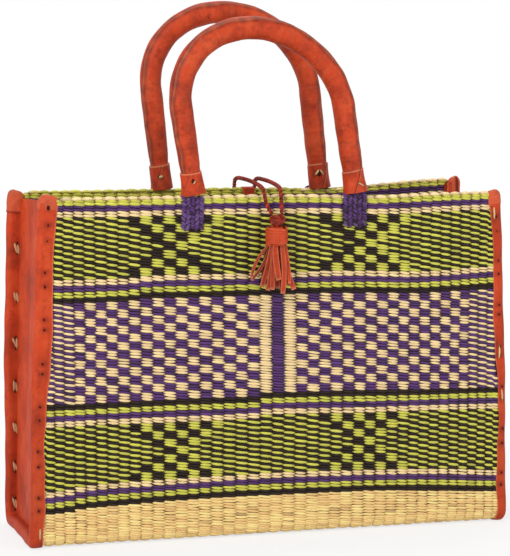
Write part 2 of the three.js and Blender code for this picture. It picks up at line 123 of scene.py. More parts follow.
class ShopperLeather(PropertyGroup):
    bright: dye("Bright", "Leather in the light", 188, 61, 24)
    light: dye("Light", "Rubbed and stretched leather", 208, 92, 50)
    # Deep is also the colour of painted shade on the leather.
    deep: dye("Deep", "Leather in creases", 84, 18, 8)
    raw: dye("Raw Edge", "Cut edges of the leather", 226, 160, 120)
    cord: dye("Cord", "Braided cords and the knot", 142, 44, 28)
    thread: dye("Thread", "Straw used for sewing", 205, 170, 122)
    sinew: dye("Sinew", "Thick stitches inside the end recess", 176, 134, 96)
    # Stitch holes are drawn as small dark pieces: painted shade in the holes.
    hole: dye("Hole", "Stitch holes", 70, 16, 10)


class ShopperHandles(PropertyGroup):
    half_span: length("Half Span", "Half the distance between the feet of one handle", 74)
    arch_rise: length("Arch Rise", "Height of the round part of the arch", 69)
    front_height: length("Front Height", "Rim to the centre line at the top", 141)
    back_height: length("Back Height", "Rim to the centre line at the top", 156)
    front_offset: length("Front Offset", "Middle of the feet from the middle of the bag", -4)
    back_offset: length("Back Offset", "Middle of the feet from the middle of the bag", 1)
    front_sway: length("Front Sway", "Lean of the arch at its top", -21)
    back_sway: length("Back Sway", "Lean of the arch at its top", -17)
    radius: length("Radius", "Radius of the covered handle", 9.3)
    tilt_height: length("Tilt Height", "Tilting line above the rim", 10.7)
    cuff_top: length("Cuff Top", "Top of the cuff above the tilting line", 8.4)
    cuff_foot: length("Cuff Foot", "Foot of the cuff below the tilting line", 10.6)
    lap: length("Lap", "Step of the lapped leather", 0.9)


class ShopperTassel(PropertyGroup):
    x: length("Middle", "Middle of the tassel", -5.5)
    y: length("Depth", "Axis of the tassel", -71.037)
    z: length("Height", "Middle of the knot", 274.5)
    cord_radius: length("Cord Radius", "Radius of a closure cord", 2)
    knot_half: length("Knot", "Half the width of the knot", 7)
    head_radius: length("Head Radius", "Radius inside the winding", 8.1)
    head_top: length("Head Top", "Top of the head below the knot's middle", 4.2)
    head_height: length("Head Height", "Length of the wound head", 16)
    fringe: length("Fringe", "Length of the longest strips", 43)


class ShopperStage(PropertyGroup):
    azimuth: angle("Azimuth", "Camera round the bag", -17.587)
    elevation: angle("Elevation", "Camera above the horizon", 5.918)
    roll: angle("Roll", "Turn of the camera on its own axis", 0.456)
    distance: length("Distance", "Camera to the point it looks at", 1947.6)
    target: FloatVectorProperty(name="Target", description="Point that the camera looks at", size=3,
                                subtype="TRANSLATION", default=(-0.00207, 0, 0.21907))
    lens: FloatProperty(name="Lens", description="Focal length in millimetres, 36 mm long side",
                        default=142.2)


GROUPS = {"shopper_bag": ShopperBag, "shopper_weave": ShopperWeave, "shopper_leather": ShopperLeather,
          "shopper_handles": ShopperHandles, "shopper_tassel": ShopperTassel, "shopper_stage": ShopperStage}


def setting(group):
    return getattr(bpy.context.scene, group)


def linear(colour):
    """Scene colour of a dye."""
    srgb = np.array(colour[:3])
    return (*np.where(srgb <= 0.04045, srgb / 12.92, ((srgb + 0.055) / 1.055) ** 2.4), 1.0)


# Shape of the bag


def bag_form(points):
    """Moves points of the upright box onto the bag, which is narrower at the rim and uneven at the mouth."""
    bag = setting("shopper_bag")
    up = points[:, 2] / bag.rim_height
    along = points[:, 0] / bag.bag_width
    mouth = (bag.mouth_left + bag.mouth_right) / 2 + (bag.mouth_right - bag.mouth_left) * along
    shift = (mouth - bag.base_depth) / 2 * up
    wall = np.clip(points[:, 1] / (bag.base_depth / 2 - bag.bound_edge), -1, 1)
    rear = (wall + 1) / 2
    lift = bag.rear_lift * np.clip((along - 0.21) / 0.29, 0, None)
    lift = lift - bag.rear_drop * np.clip(0.35 - along, 0, 0.7) / 0.7
    tuck = bag.rear_tuck * np.clip(-2 * along, 0, 1) * np.clip(1 - up, 0, 1) ** 2 * rear
    stand = bag.end_stand * (0.3 + 0.7 * np.sin(math.pi * np.clip(up, 0, 1) / 1.25))
    stand = stand * (1 - 0.75 * rear * np.clip(1 - up, 0, 1) ** 3)
    stand = stand * np.clip((np.abs(along) - 0.472) / 0.02, 0, 1) * np.sign(along)
    x = points[:, 0] - along * bag.rim_narrowing * up + stand
    y = points[:, 1] + wall * shift - tuck
    z = np.maximum(points[:, 2] + lift * up * rear, 0)
    return np.stack([x, y, z], 1)


def mat_length():
    """Length of the mat's outer face from the front rim under the base to the back rim."""
    bag = setting("shopper_bag")
    return 2 * (bag.rim_height - bag.corner_radius) + math.pi * bag.corner_radius \
        + bag.base_depth - 2 * bag.corner_radius


def on_mat(across, run, out):
    """Points on the mat: across it, run from the front rim under the base to the back rim, out from it."""
    bag = setting("shopper_bag")
    across, run, out = np.broadcast_arrays(*(np.asarray(value, float) for value in (across, run, out)))
    shape = across.shape
    across, run, out = across.ravel(), run.ravel(), out.ravel()
    radius = bag.corner_radius
    wall = bag.rim_height - radius
    quarter = math.pi / 2 * radius
    flat = bag.base_depth - 2 * radius
    front_turn = np.clip((run - wall) / radius, 0, math.pi / 2)
    back_turn = np.clip((run - wall - quarter - flat) / radius, 0, math.pi / 2)
    turn = front_turn + back_turn
    ny, nz = -np.cos(turn), -np.sin(turn)
    base = np.clip(run - wall - quarter, 0, flat) - flat / 2
    y = base + radius * ny
    z = radius + radius * nz + np.maximum(wall - run, 0) + np.maximum(run - (2 * quarter + wall + flat), 0)
    belly = np.cos(math.pi * np.clip(across / bag.bag_width, -0.5, 0.5))
    belly = belly * np.sin(math.pi * np.clip(z / (0.8 * bag.rim_height), 0, 1)) ** 2 * bag.bulge * np.abs(ny)
    lump = 0.4 * MM * np.sin(31 * across + 3) * np.sin(27 * run + 1)
    out = out + belly + lump * np.clip(1 - np.abs(across) / (0.48 * bag.bag_width), 0, 1)
    points = bag_form(np.stack([across, y + out * ny, z + out * nz], 1))
    return points.reshape(*shape, 3)


def mat_axes(across, run, out):
    """Directions on the mat at each place: across it, and along it from the front rim to the back rim."""
    step = 0.5 * MM
    right = unit(on_mat(across + step, run, out) - on_mat(across - step, run, out))
    down = unit(on_mat(across, run + step, out) - on_mat(across, run - step, out))
    return right, down


# Meshes

CURVE_STEPS = 24


def unit(vectors):
    return vectors / np.maximum(np.linalg.norm(vectors, axis=-1, keepdims=True), 1e-12)


def quads(rows, columns, wrap=False):
    """Faces of a grid of points, wrapped round in its second direction if asked."""
    first = np.arange(rows - 1)[:, None] * columns
    last = columns if wrap else columns - 1
    here = np.arange(last)[None]
    there = (here + 1) % columns
    faces = np.stack([first + here, first + there, first + columns + there, first + columns + here], -1)
    return faces.reshape(-1, 4).tolist()


def slab(grid, thickness):
    """A closed sheet whose outer face is the grid of points, with its thickness below."""
    rows, columns = grid.shape[:2]
    normal = unit(np.cross(np.gradient(grid, axis=0), np.gradient(grid, axis=1)))
    points = np.concatenate([grid.reshape(-1, 3), (grid - normal * thickness).reshape(-1, 3)])
    count = rows * columns
    top = quads(rows, columns)
    faces = top + [[count + i for i in reversed(face)] for face in top]
    border = [i for i in range(columns)] + [r * columns + columns - 1 for r in range(1, rows)]
    border += [(rows - 1) * columns + i for i in reversed(range(columns - 1))]
    border += [r * columns for r in reversed(range(1, rows - 1))]
    for a, b in zip(border, border[1:] + border[:1]):
        faces.append([b, a, count + a, count + b])
    return points, faces


def tube(rings):
    """A closed body through rings of points."""
    rows, columns = rings.shape[:2]
    faces = quads(rows, columns, wrap=True)
    faces.append(list(reversed(range(columns))))
    faces.append([(rows - 1) * columns + i for i in range(columns)])
    return rings.reshape(-1, 3), faces


def joined(*bodies):
    """Bodies as one mesh, each with its faces turned outwards."""
    points, faces, count = [], [], 0
    for body_points, body_faces in bodies:
        points.append(body_points)
        faces += [[count + i for i in face] for face in outward(body_points, body_faces)]
        count += len(body_points)
    return np.concatenate(points), faces


def outward(points, faces):
    """The faces turned so that the body's volume is positive."""
    volume = 0
    for face in faces:
        a = points[face[0]]
        for b, c in zip(face[1:-1], face[2:]):
            volume += np.dot(a, np.cross(points[b], points[c]))
    return faces if volume > 0 else [face[::-1] for face in faces]


def passed(t, start, end, a, b):
    """Point on the way from a at the start time to b at the end time."""
    return (end - t) / (end - start) * a + (t - start) / (end - start) * b


def smooth_path(route, count):
    """Evenly spaced points on a centripetal Catmull-Rom curve through a route."""
    route = np.array(route, float)
    route = np.concatenate([[2 * route[0] - route[1]], route, [2 * route[-1] - route[-2]]])
    fine = []
    for p0, p1, p2, p3 in zip(route, route[1:], route[2:], route[3:]):
        steps = [np.linalg.norm(b - a) ** 0.5 for a, b in ((p0, p1), (p1, p2), (p2, p3))]
        t0, t1, t2, t3 = np.cumsum([0] + steps)
        for t in np.linspace(t1, t2, CURVE_STEPS, endpoint=False):
            a1 = passed(t, t0, t1, p0, p1)
            a2 = passed(t, t1, t2, p1, p2)
            a3 = passed(t, t2, t3, p2, p3)
            b1 = passed(t, t0, t2, a1, a2)
            b2 = passed(t, t1, t3, a2, a3)
            fine.append(passed(t, t1, t2, b1, b2))
    return evenly(np.array(fine + [route[-2]]), count)


def run_along(points):
    """Distance along a path at each of its points."""
    return np.concatenate([[0], np.cumsum(np.linalg.norm(np.diff(points, axis=0), axis=1))])


def evenly(points, count):
    """Points at even distances along a path."""
    run = run_along(points)
    at = np.linspace(0, run[-1], count)
    return np.stack([np.interp(at, run, points[:, i]) for i in range(3)], 1)


def frames_along(path, first_side):
    """Two directions across a path at each of its points, turning as little as they can."""
    tangent = unit(np.gradient(path, axis=0))
    side = np.array(first_side, float)
    sides = []
    for t in tangent:
        side = side - t * np.dot(side, t)
        side = side / np.linalg.norm(side)
        sides.append(side)
    sides = np.array(sides)
    return sides, np.cross(tangent, sides)


def strand(path, radius, sides=8, first_side=(0.3, 0.2, 1), flat=1.0):
    """A round or flattened strand along a path. The radius is one number or one for each point."""
    side, other = frames_along(path, first_side)
    around = np.arange(sides) / sides * 2 * math.pi
    radius = np.broadcast_to(np.asarray(radius, float), len(path))[:, None, None]
    rings = path[:, None] + radius * (np.cos(around)[None, :, None] * side[:, None]
                                      + flat * np.sin(around)[None, :, None] * other[:, None])
    return tube(rings)


def add_layers(mesh, layers):
    """Stores values with the points of a mesh, one number or three for each point."""
    for key, values in layers.items():
        single = np.ndim(values) == 1
        layer = mesh.attributes.new(key, "FLOAT" if single else "FLOAT_VECTOR", "POINT")
        layer.data.foreach_set("value" if single else "vector", np.asarray(values, np.float32).ravel())


def make_piece(name, body, points, faces, look, replaces=(), layers=None, sharp=40):
    """A mesh as a piece of the part. Edges sharper than the angle in degrees stay sharp."""
    mesh = bpy.data.meshes.new(name)
    mesh.from_pydata(points.tolist(), [], outward(points, faces))
    add_layers(mesh, layers or {})
    mesh.materials.append(look)
    mesh.shade_smooth()
    mesh.set_sharp_from_angle(angle=math.radians(sharp))
    piece = bpy.data.objects.new(name, mesh)
    bpy.context.collection.objects.link(piece)
    return settle(piece, body, replaces)


def settle(piece, body, replaces=()):
    """Parents a piece to the empty of the body that carries it, and hides the solids it stands for."""
    if body:
        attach(piece, body)
    if replaces:
        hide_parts(*replaces)
    return piece


# Materials


def feed(tree, socket, value):
    """Links a value that comes from another node, or sets a plain one."""
    if isinstance(value, bpy.types.NodeSocket):
        tree.links.new(value, socket)
    else:
        socket.default_value = value


def add_node(tree, kind, inputs=None, **settings):
    """A node with its settings and inputs."""
    made = tree.nodes.new(kind)
    for key, value in settings.items():
        setattr(made, key, value)
    for key, value in (inputs or {}).items():
        feed(tree, made.inputs[key], value)
    return made


class Shader:
    """A node material under construction."""

    def __init__(self, name):
        self.material = bpy.data.materials.new(name)
        self.material.use_nodes = True
        self.tree = self.material.node_tree
        self.surface = self.tree.nodes["Principled BSDF"]

    def node(self, kind, inputs=None, **settings):
        return add_node(self.tree, kind, inputs, **settings)

    def attribute(self, name):
        return self.node("ShaderNodeAttribute", attribute_name=name)

    def noise(self, vector, scale, detail=3.0, roughness=0.55):
        inputs = {"Vector": vector, "Scale": scale, "Detail": detail, "Roughness": roughness}
        return self.node("ShaderNodeTexNoise", inputs).outputs["Fac"]

    def ramp(self, factor, stops):
        made = self.node("ShaderNodeValToRGB", {"Fac": factor})
        elements = made.color_ramp.elements
        while len(elements) < len(stops):
            elements.new(0.5)
        for element, (place, colour) in zip(elements, stops):
            element.position = place
            element.color = colour
        return made.outputs["Color"]

    def mix(self, factor, a, b, blend="MIX"):
        made = self.node("ShaderNodeMix", {"Factor": factor}, data_type="RGBA", blend_type=blend)
        for socket, value in zip((s for s in made.inputs if s.type == "RGBA"), (a, b)):
            feed(self.tree, socket, value)
        return next(s for s in made.outputs if s.type == "RGBA")

    def span(self, value, low, high, start=0.0, end=1.0):
        inputs = {"Value": value, "From Min": start, "From Max": end, "To Min": low, "To Max": high}
        return self.node("ShaderNodeMapRange", inputs).outputs["Result"]

    def maths(self, operation, a, b):
        return self.node("ShaderNodeMath", {0: a, 1: b}, operation=operation).outputs[0]

    def bump(self, height, strength, distance, below=None):
        inputs = {"Height": height, "Strength": strength, "Distance": distance}
        if below:
            inputs["Normal"] = below
        return self.node("ShaderNodeBump", inputs).outputs["Normal"]

    def finish(self, colour, roughness, normal, sheen=0.5):
        values = {"Base Color": colour, "Roughness": roughness, "Normal": normal,
                  "Specular IOR Level": sheen}
        for key, value in values.items():
            feed(self.tree, self.surface.inputs[key], value)
        return self.material


def shade(colour, factor):
    """A darker or lighter dye."""
    return linear([min(1.0, c * factor) for c in colour[:3]])


def grey(value):
    return (value, value, value, 1)


BLACK, WHITE = grey(0), grey(1)
# How much of the pattern of streaks lies along a straw, round it, and between the darkest and palest one.
GRAIN_LENGTH = 2.2
GRAIN_ROUND = 3.2
GRAIN_APART = 91.0
SCAR_COLOUR = (0.5, 0.38, 0.26, 1)


def straw_material(name, colour, pale, dark=0.82, bright=1.1, tip=0.26, sheen=0.45):
    """Split straw: each stitch has its own tone, with streaks along its length and a satin skin. The palest
    tones mix towards a pale colour that is partly a painted highlight, and each stitch darkens with painted
    shade towards its ends, where it dives under its neighbours; tip sets how dark that shade is.
    """
    shader = Shader(name)
    tone = shader.attribute("tone").outputs["Fac"]
    grain = shader.attribute("straw_grain").outputs["Vector"]
    streak = shader.noise(grain, 1.6, 4.0, 0.7)
    # The palest tone mixes towards the pale colour: partly the straw's own paler tone, partly a painted
    # highlight.
    pale_highlight = linear([c + (p - c) * 0.55 for c, p in zip(colour[:3], pale[:3])])
    body = shader.ramp(tone, [(0.0, shade(colour, dark)), (0.35, linear(colour)),
                              (0.72, shade(colour, bright)), (1.0, pale_highlight)])
    streaked = shader.ramp(streak, [(0.3, grey(0.5)), (0.62, WHITE)])
    colour_out = shader.mix(0.5, body, streaked, "MULTIPLY")
    # Painted shade: each stitch darkens towards its ends, where it dives under its neighbours, more in some
    # places than others by noise.
    along = shader.node("ShaderNodeSeparateXYZ", {0: grain}).outputs["X"]
    tip_shade_colour = (tip, 0.8 * tip, 0.6 * tip, 1)
    tip_shade = shader.ramp(shader.maths("MULTIPLY", along, 1 / GRAIN_LENGTH),
                       [(0.06, tip_shade_colour), (0.2, WHITE), (0.8, WHITE), (0.94, tip_shade_colour)])
    tip_shade_amount = shader.span(shader.noise(grain, 0.7, 2), 0.35, 1.0, 0.4, 0.6)
    colour_out = shader.mix(tip_shade_amount, colour_out, tip_shade, "MULTIPLY")
    scar = shader.ramp(shader.noise(grain, 2.6, 2), [(0.28, SCAR_COLOUR), (0.36, WHITE)])
    colour_out = shader.mix(1.0, colour_out, scar, "MULTIPLY")
    roughness = shader.span(streak, 0.36, 0.6)
    return shader.finish(colour_out, roughness, shader.bump(streak, 0.5, 0.0006), sheen=sheen)


def leather_material(name, grain=1.0, gloss=0.58, drawn_lines=0.22, stain=0.15):
    """Dyed goatskin: uneven dye, drawn lines and fine pores. The mesh says where it is worn, where it
    carries a painted highlight and where it is darkened, mostly by painted shade.
    """
    leather = setting("shopper_leather")
    shader = Shader(name)
    place = shader.node("ShaderNodeTexCoord").outputs["Object"]
    drawn = shader.node("ShaderNodeMapping", {"Vector": place, "Scale": (1, 1, 0.2)}).outputs["Vector"]
    blotch = shader.noise(place, 30, 4, 0.6)
    mottle = shader.noise(place, 210, 5, 0.65)
    line = shader.noise(drawn, 150, 4, 0.6)
    body = shader.ramp(blotch, [(0.3, shade(leather.bright, 0.8)), (0.5, linear(leather.bright)),
                                (0.7, linear(half_way(leather.bright, leather.light)))])
    speckle = shader.ramp(mottle, [(0.3, linear(leather.deep)), (0.46, WHITE)])
    body = shader.mix(0.35, body, speckle, "MULTIPLY")
    dark_line = shader.ramp(line, [(0.33, shade(leather.light, 0.75)), (0.5, WHITE)])
    body = shader.mix(drawn_lines, body, dark_line, "MULTIPLY")
    scuff = shader.ramp(shader.noise(place, 120, 6, 0.75), [(0.6, BLACK), (0.75, grey(0.5))])
    body = shader.mix(scuff, body, linear(leather.light))
    stains = shader.ramp(shader.noise(place, 75, 5, 0.7), [(0.5, BLACK), (0.68, grey(stain))])
    body = shader.mix(stains, body, linear(leather.deep))
    # Darkened towards the deep dye where the mesh says, mostly painted shade.
    body = shader.mix(shader.attribute("crease").outputs["Fac"], body, linear(leather.deep))
    # Lighter towards the raw edge colour where the mesh says: worn edges, rubbed places and a painted
    # highlight on the gusset ridge.
    wear_and_highlight_mix = shader.maths("MULTIPLY", shader.attribute("wear").outputs["Fac"], shader.span(mottle, 0.4, 1.2))
    body = shader.mix(wear_and_highlight_mix, body, linear(leather.raw))
    pores = shader.node("ShaderNodeTexVoronoi", {"Vector": place, "Scale": 1100 * grain}).outputs["Distance"]
    normal = shader.bump(pores, 0.25, 0.0003)
    normal = shader.bump(shader.noise(place, 95, 4, 0.6), 0.4, 0.0012, normal)
    return shader.finish(body, shader.span(mottle, gloss - 0.08, gloss + 0.16), normal, sheen=0.2)


def cord_material(name, colour):
    """Thin braided leather, dull and uneven."""
    shader = Shader(name)
    place = shader.node("ShaderNodeTexCoord").outputs["Object"]
    blotch = shader.noise(place, 220, 4)
    body = shader.ramp(blotch, [(0.3, shade(colour, 0.55)), (0.5, linear(colour)),
                                (0.72, shade(colour, 1.45))])
    # Darkened where the mesh says: painted shade on one strand of a cord.
    body = shader.mix(shader.attribute("crease").outputs["Fac"], body, shade(colour, 0.3))
    fine = shader.noise(place, 900, 2)
    return shader.finish(body, shader.span(fine, 0.5, 0.75), shader.bump(fine, 0.4, 0.0004), sheen=0.2)


def core_material(name, colour):
    """Dry ribs seen through the gaps between the stitches, dyed dark as painted shade in the gaps."""
    shader = Shader(name)
    place = shader.node("ShaderNodeTexCoord").outputs["Object"]
    long = shader.node("ShaderNodeMapping", {"Vector": place, "Scale": (900, 900, 30)}).outputs["Vector"]
    fibre = shader.noise(long, 1.0, 3)
    body = shader.ramp(fibre, [(0.3, shade(colour, 0.5)), (0.7, shade(colour, 1.5))])
    return shader.finish(body, shader.span(fibre, 0.7, 0.9), shader.bump(fibre, 0.4, 0.0005))


# Painted highlights: the pale colours that the palest purple and black stitches mix towards.
PURPLE_HIGHLIGHT = (0.5, 0.41, 0.62)
BLACK_HIGHLIGHT = (0.26, 0.23, 0.28)
MATERIALS = {}


def half_way(first, second):
    """The dye between two dyes."""
    return [(a + b) / 2 for a, b in zip(first, second)]


def make_material(name):
    """Makes one material. A straw has its dye, the pale colour that its palest stitches mix towards, partly
    a painted highlight, and its looks.
    """
    weave, leather = setting("shopper_weave"), setting("shopper_leather")
    if name == "leather":
        return leather_material(name)
    if name == "handle leather":
        return leather_material(name, grain=0.8, gloss=0.5, drawn_lines=0.12, stain=0.45)
    if name == "dark leather":
        return cord_material(name, leather.cord)
    if name == "core":
        return core_material(name, weave.core)
    # Between the dark core and lime: painted shade in the gaps of the rim.
    if name == "rim core":
        return core_material(name, half_way(weave.core, weave.lime))
    dark_dye = {"dark": 0.55, "bright": 1.25}
    straws = {"natural": (weave.natural, weave.cream, {"dark": 0.72, "bright": 1.18, "tip": 0.55}),
              "cream": (weave.cream, weave.cream, {}),
              "lime": (weave.lime, weave.cream, {}),
              "purple": (weave.purple, PURPLE_HIGHLIGHT, {**dark_dye, "sheen": 0.3}),
              "black": (weave.black, BLACK_HIGHLIGHT, {**dark_dye, "sheen": 0.2}),
              "thread": (leather.thread, weave.cream, {}),
              "sinew": (leather.sinew, weave.cream, {}),
              # The holes are small dark pieces: painted shade in the holes.
              "hole": (leather.hole, leather.deep, {"sheen": 0.1})}
    colour, pale, looks = straws[name]
    return straw_material(f"{name} straw" if name in STRAW_SLOTS else name, colour, pale, **looks)


def material(name):
    """A material of the shopper by name, made when it is first asked for."""
    if name not in MATERIALS:
        MATERIALS[name] = make_material(name)
    return MATERIALS[name]


# Straw stitches, made by Geometry Nodes


def stitch_tree():
    """Node group that sets one bent straw on each point, turned and sized by the point's attributes."""
    name = "straw_stitches"
    if name in bpy.data.node_groups:
        return bpy.data.node_groups[name]
    tree = bpy.data.node_groups.new(name, "GeometryNodeTree")
    face = tree.interface
    face.new_socket("Geometry", in_out="INPUT", socket_type="NodeSocketGeometry")
    for key in ("Length", "Height", "Thickness", "Bulge", "Dip", "Tip", "Taper", "Unevenness"):
        face.new_socket(key, in_out="INPUT", socket_type="NodeSocketFloat")
    for key in ("Steps", "Sides", "Seed"):
        face.new_socket(key, in_out="INPUT", socket_type="NodeSocketInt")
    face.new_socket("Material", in_out="INPUT", socket_type="NodeSocketMaterial")
    face.new_socket("Geometry", in_out="OUTPUT", socket_type="NodeSocketGeometry")

    def node(kind, inputs=None, **settings):
        return add_node(tree, kind, inputs, **settings)

    def maths(operation, a, b=0.0):
        return node("ShaderNodeMath", {0: a, 1: b}, operation=operation).outputs[0]

    def times(a, b):
        return maths("MULTIPLY", a, b)

    def plus(a, b):
        return maths("ADD", a, b)

    def vector(x, y, z):
        return node("ShaderNodeCombineXYZ", {"X": x, "Y": y, "Z": z}).outputs[0]

    def stored(geometry, key, value, kind, domain="POINT"):
        inputs = {"Geometry": geometry, "Name": key, "Value": value}
        return node("GeometryNodeStoreNamedAttribute", inputs, data_type=kind, domain=domain).outputs[0]

    def named(key, kind):
        return node("GeometryNodeInputNamedAttribute", {"Name": key}, data_type=kind).outputs["Attribute"]

    given = node("NodeGroupInput").outputs
    half = times(given["Length"], 0.5)
    dip = times(given["Dip"], -1.0)
    bend = node("GeometryNodeCurveQuadraticBezier", {
        "Resolution": given["Steps"], "Start": vector(times(half, -1.0), dip, 0.0),
        "Middle": vector(0.0, given["Bulge"], 0.0), "End": vector(half, dip, 0.0)}).outputs["Curve"]
    along = node("GeometryNodeSplineParameter").outputs["Factor"]
    swell = maths("POWER", maths("SINE", times(along, math.pi)), given["Taper"])
    radius = plus(given["Tip"], times(swell, maths("SUBTRACT", 1.0, given["Tip"])))
    bend = node("GeometryNodeSetCurveNormal", {"Curve": bend}, mode="Z_UP").outputs["Curve"]
    bend = stored(bend, "along", along, "FLOAT")
    circle = {"Resolution": given["Sides"], "Radius": 1.0}
    ring = node("GeometryNodeCurvePrimitiveCircle", circle).outputs["Curve"]
    place = node("GeometryNodeInputPosition").outputs[0]
    ring = stored(ring, "round", node("ShaderNodeSeparateXYZ", {0: place}).outputs["Y"], "FLOAT")
    flat = vector(times(given["Thickness"], 0.5), times(given["Height"], 0.5), 1.0)
    ring = node("GeometryNodeTransform", {"Geometry": ring, "Scale": flat}).outputs[0]
    straw = node("GeometryNodeCurveToMesh", {"Curve": bend, "Profile Curve": ring, "Scale": radius,
                                             "Fill Caps": True}).outputs[0]
    straw = node("GeometryNodeSetShadeSmooth", {0: straw}).outputs[0]

    points = node("GeometryNodeMeshToPoints", {"Mesh": given["Geometry"], "Radius": 0.001}).outputs[0]
    least = maths("SUBTRACT", 1.0, given["Unevenness"])
    most = plus(1.0, given["Unevenness"])
    uneven = node("FunctionNodeRandomValue", {"Seed": given["Seed"]}, data_type="FLOAT")
    floats = [s for s in uneven.inputs if s.type == "VALUE" and s.enabled]
    tree.links.new(least, floats[0])
    tree.links.new(most, floats[1])
    jitter = next(s for s in uneven.outputs if s.type == "VALUE" and s.enabled)
    scaled = {0: named("size", "FLOAT_VECTOR"), "Scale": jitter}
    size = node("ShaderNodeVectorMath", scaled, operation="SCALE")
    rows = node("GeometryNodeInstanceOnPoints", {
        "Points": points, "Instance": straw, "Rotation": named("turn", "QUATERNION"),
        "Scale": size.outputs[0]}).outputs[0]
    rows = node("GeometryNodeRealizeInstances", {0: rows}).outputs[0]
    along_it, round_it = named("along", "FLOAT"), named("round", "FLOAT")
    tone, cell = named("tone", "FLOAT"), named("cell", "FLOAT_VECTOR")
    grain = vector(times(along_it, GRAIN_LENGTH), times(round_it, GRAIN_ROUND),
                   times(tone, GRAIN_APART))
    rows = stored(rows, "straw_grain", grain, "FLOAT_VECTOR")
    cells = node("ShaderNodeSeparateXYZ", {0: cell}).outputs
    span = node("ShaderNodeSeparateXYZ", {0: named("cell_size", "FLOAT_VECTOR")}).outputs
    level = plus(times(round_it, 0.4), 0.5)
    reach = plus(times(along_it, 0.8), 0.1)
    u = plus(cells["X"], times(span["X"], reach))
    v = plus(cells["Y"], times(span["Y"], level))
    rows = stored(rows, "OFBake", vector(u, v, 0.0), "FLOAT2", "CORNER")
    rows = node("GeometryNodeSetMaterial", {"Geometry": rows, "Material": given["Material"]}).outputs[0]
    node("NodeGroupOutput", {0: rows})
    return tree


def turns(x_axis, y_axis):
    """Quaternions of the turns that lay a straw along x, with its back to the mat along y."""
    x_axis = unit(x_axis)
    y_axis = unit(y_axis - x_axis * np.sum(x_axis * y_axis, -1, keepdims=True))
    z_axis = np.cross(x_axis, y_axis)
    found = [Matrix(((x[0], y[0], z[0]), (x[1], y[1], z[1]), (x[2], y[2], z[2]))).to_quaternion()
             for x, y, z in zip(x_axis, y_axis, z_axis)]
    return np.array([(q.w, q.x, q.y, q.z) for q in found], np.float32)


def slanted(first, second, lean):
    """Directions turned from the first towards the second by an angle each."""
    return first * np.cos(lean)[:, None] + second * np.sin(lean)[:, None]


def uneven_tones(random, count, middle=0.5, spread=0.2):
    """Tones of stitches, from 0 for dark to 1 for pale."""
    return np.clip(random.normal(middle, spread, count), 0, 1)


def straw_shape(long, height, thickness, bulge, dip=0.0, **others):
    """Sizes of a straw in mm, and other inputs, as the node group takes them."""
    sizes = {"Length": long, "Height": height, "Thickness": thickness, "Bulge": bulge, "Dip": dip}
    return {**{key: value * MM for key, value in sizes.items()}, **others}


def make_stitches(name, body, places, x_axis, y_axis, straw, shape, tones, sizes=None,
                  replaces=()):
    """Stitches of one straw as one piece. Shape gives the inputs of the node group."""
    count = len(places)
    mesh = bpy.data.meshes.new(name + "_points")
    mesh.from_pydata(places.tolist(), [], [])
    columns = max(1, math.ceil(math.sqrt(count / 3)))
    rows = math.ceil(count / columns)
    index = np.arange(count)
    cell = np.stack([index % columns / columns, index // columns / rows, np.zeros(count)], 1)
    add_layers(mesh, {"size": np.ones((count, 3)) if sizes is None else sizes, "tone": tones, "cell": cell,
                      "cell_size": np.tile((1 / columns, 1 / rows, 0), (count, 1))})
    layer = mesh.attributes.new("turn", "QUATERNION", "POINT")
    layer.data.foreach_set("value", turns(x_axis, y_axis).ravel())
    maker = bpy.data.objects.new(name + "_maker", mesh)
    bpy.context.collection.objects.link(maker)
    tree = stitch_tree()
    modifier = maker.modifiers.new("stitches", "NODES")
    modifier.node_group = tree
    chosen = {"Dip": 0.0, "Tip": 0.35, "Taper": 0.8, "Unevenness": 0.07, "Steps": 4, "Sides": 6,
              "Seed": setting("shopper_weave").seed, "Material": material(straw), **shape}
    for socket in tree.interface.items_tree:
        if socket.in_out == "INPUT" and socket.name in chosen:
            modifier[socket.identifier] = chosen[socket.name]
    evaluated = maker.evaluated_get(bpy.context.evaluated_depsgraph_get())
    made = bpy.data.meshes.new_from_object(evaluated)
    made.name = name
    bpy.data.objects.remove(maker)
    for key in ("along", "round", "cell", "cell_size", "size", "turn", "radius"):
        if key in made.attributes:
            made.attributes.remove(made.attributes[key])
    piece = bpy.data.objects.new(name, made)
    bpy.context.collection.objects.link(piece)
    return settle(piece, body, replaces)


# Weave

# Rows of the mat from the rim down, and what they show.
BANDS = ((2, "lime"), (2, "purple"), (2, "cream"), (21, "hourglass"),
         (2, "cream"), (2, "purple"), (2, "lime"), (2, "black"), (36, "checks"),
         (2, "black"), (2, "lime"), (2, "purple"), (2, "cream"), (21, "hourglass"),
         (2, "cream"), (2, "purple"), (2, "lime"), (2, "black"))
CHECK_ROWS = 3
# Columns at the waists of the hourglass figures, and the row below the upper band of them. In the lower rows
# of that band the first figure lacks its last column.
WAISTS = (11, 27)
UPPER_BAND_END = 27
RIM_ROWS = 2
RIBS_TOP = 7.4 * MM
RIBS_DEPTH = 2.15 * MM
RIBS_THICKNESS = 0.9 * MM
RIBS_ROWS = 150
STITCH_DEPTH = 1.25 * MM
RIM_STITCH_DEPTH = 0.95 * MM
# The column beside the leather lies within this distance of the end. It is drawn in, with longer stitches.
OUTERMOST = 11.5 * MM
OUTERMOST_SHIFT = 0.7 * MM
OUTERMOST_LENGTH = 1.12
# Limits of the uneven length, thickness and height of a stitch.
SMALLEST, LARGEST = (0.84, 0.94, 0.94), (1.04, 1.06, 1.06)
# Length of dark and of dyed pale straws against natural ones, and height of the lime ones in the twill.
DARK_LENGTH, PALE_LENGTH = 1.06, 0.93
LIME_TWILL_HEIGHT = 1.06
# Stitches lie deeper under the base, and where they run below the leather, by the distance past its edge.
BASE_SINK = 0.45 * MM
PAST_EDGE, EDGE_SINK = (-2 * MM, 2 * MM, 4.5 * MM), (0, 0.7 * MM, 1.9 * MM)


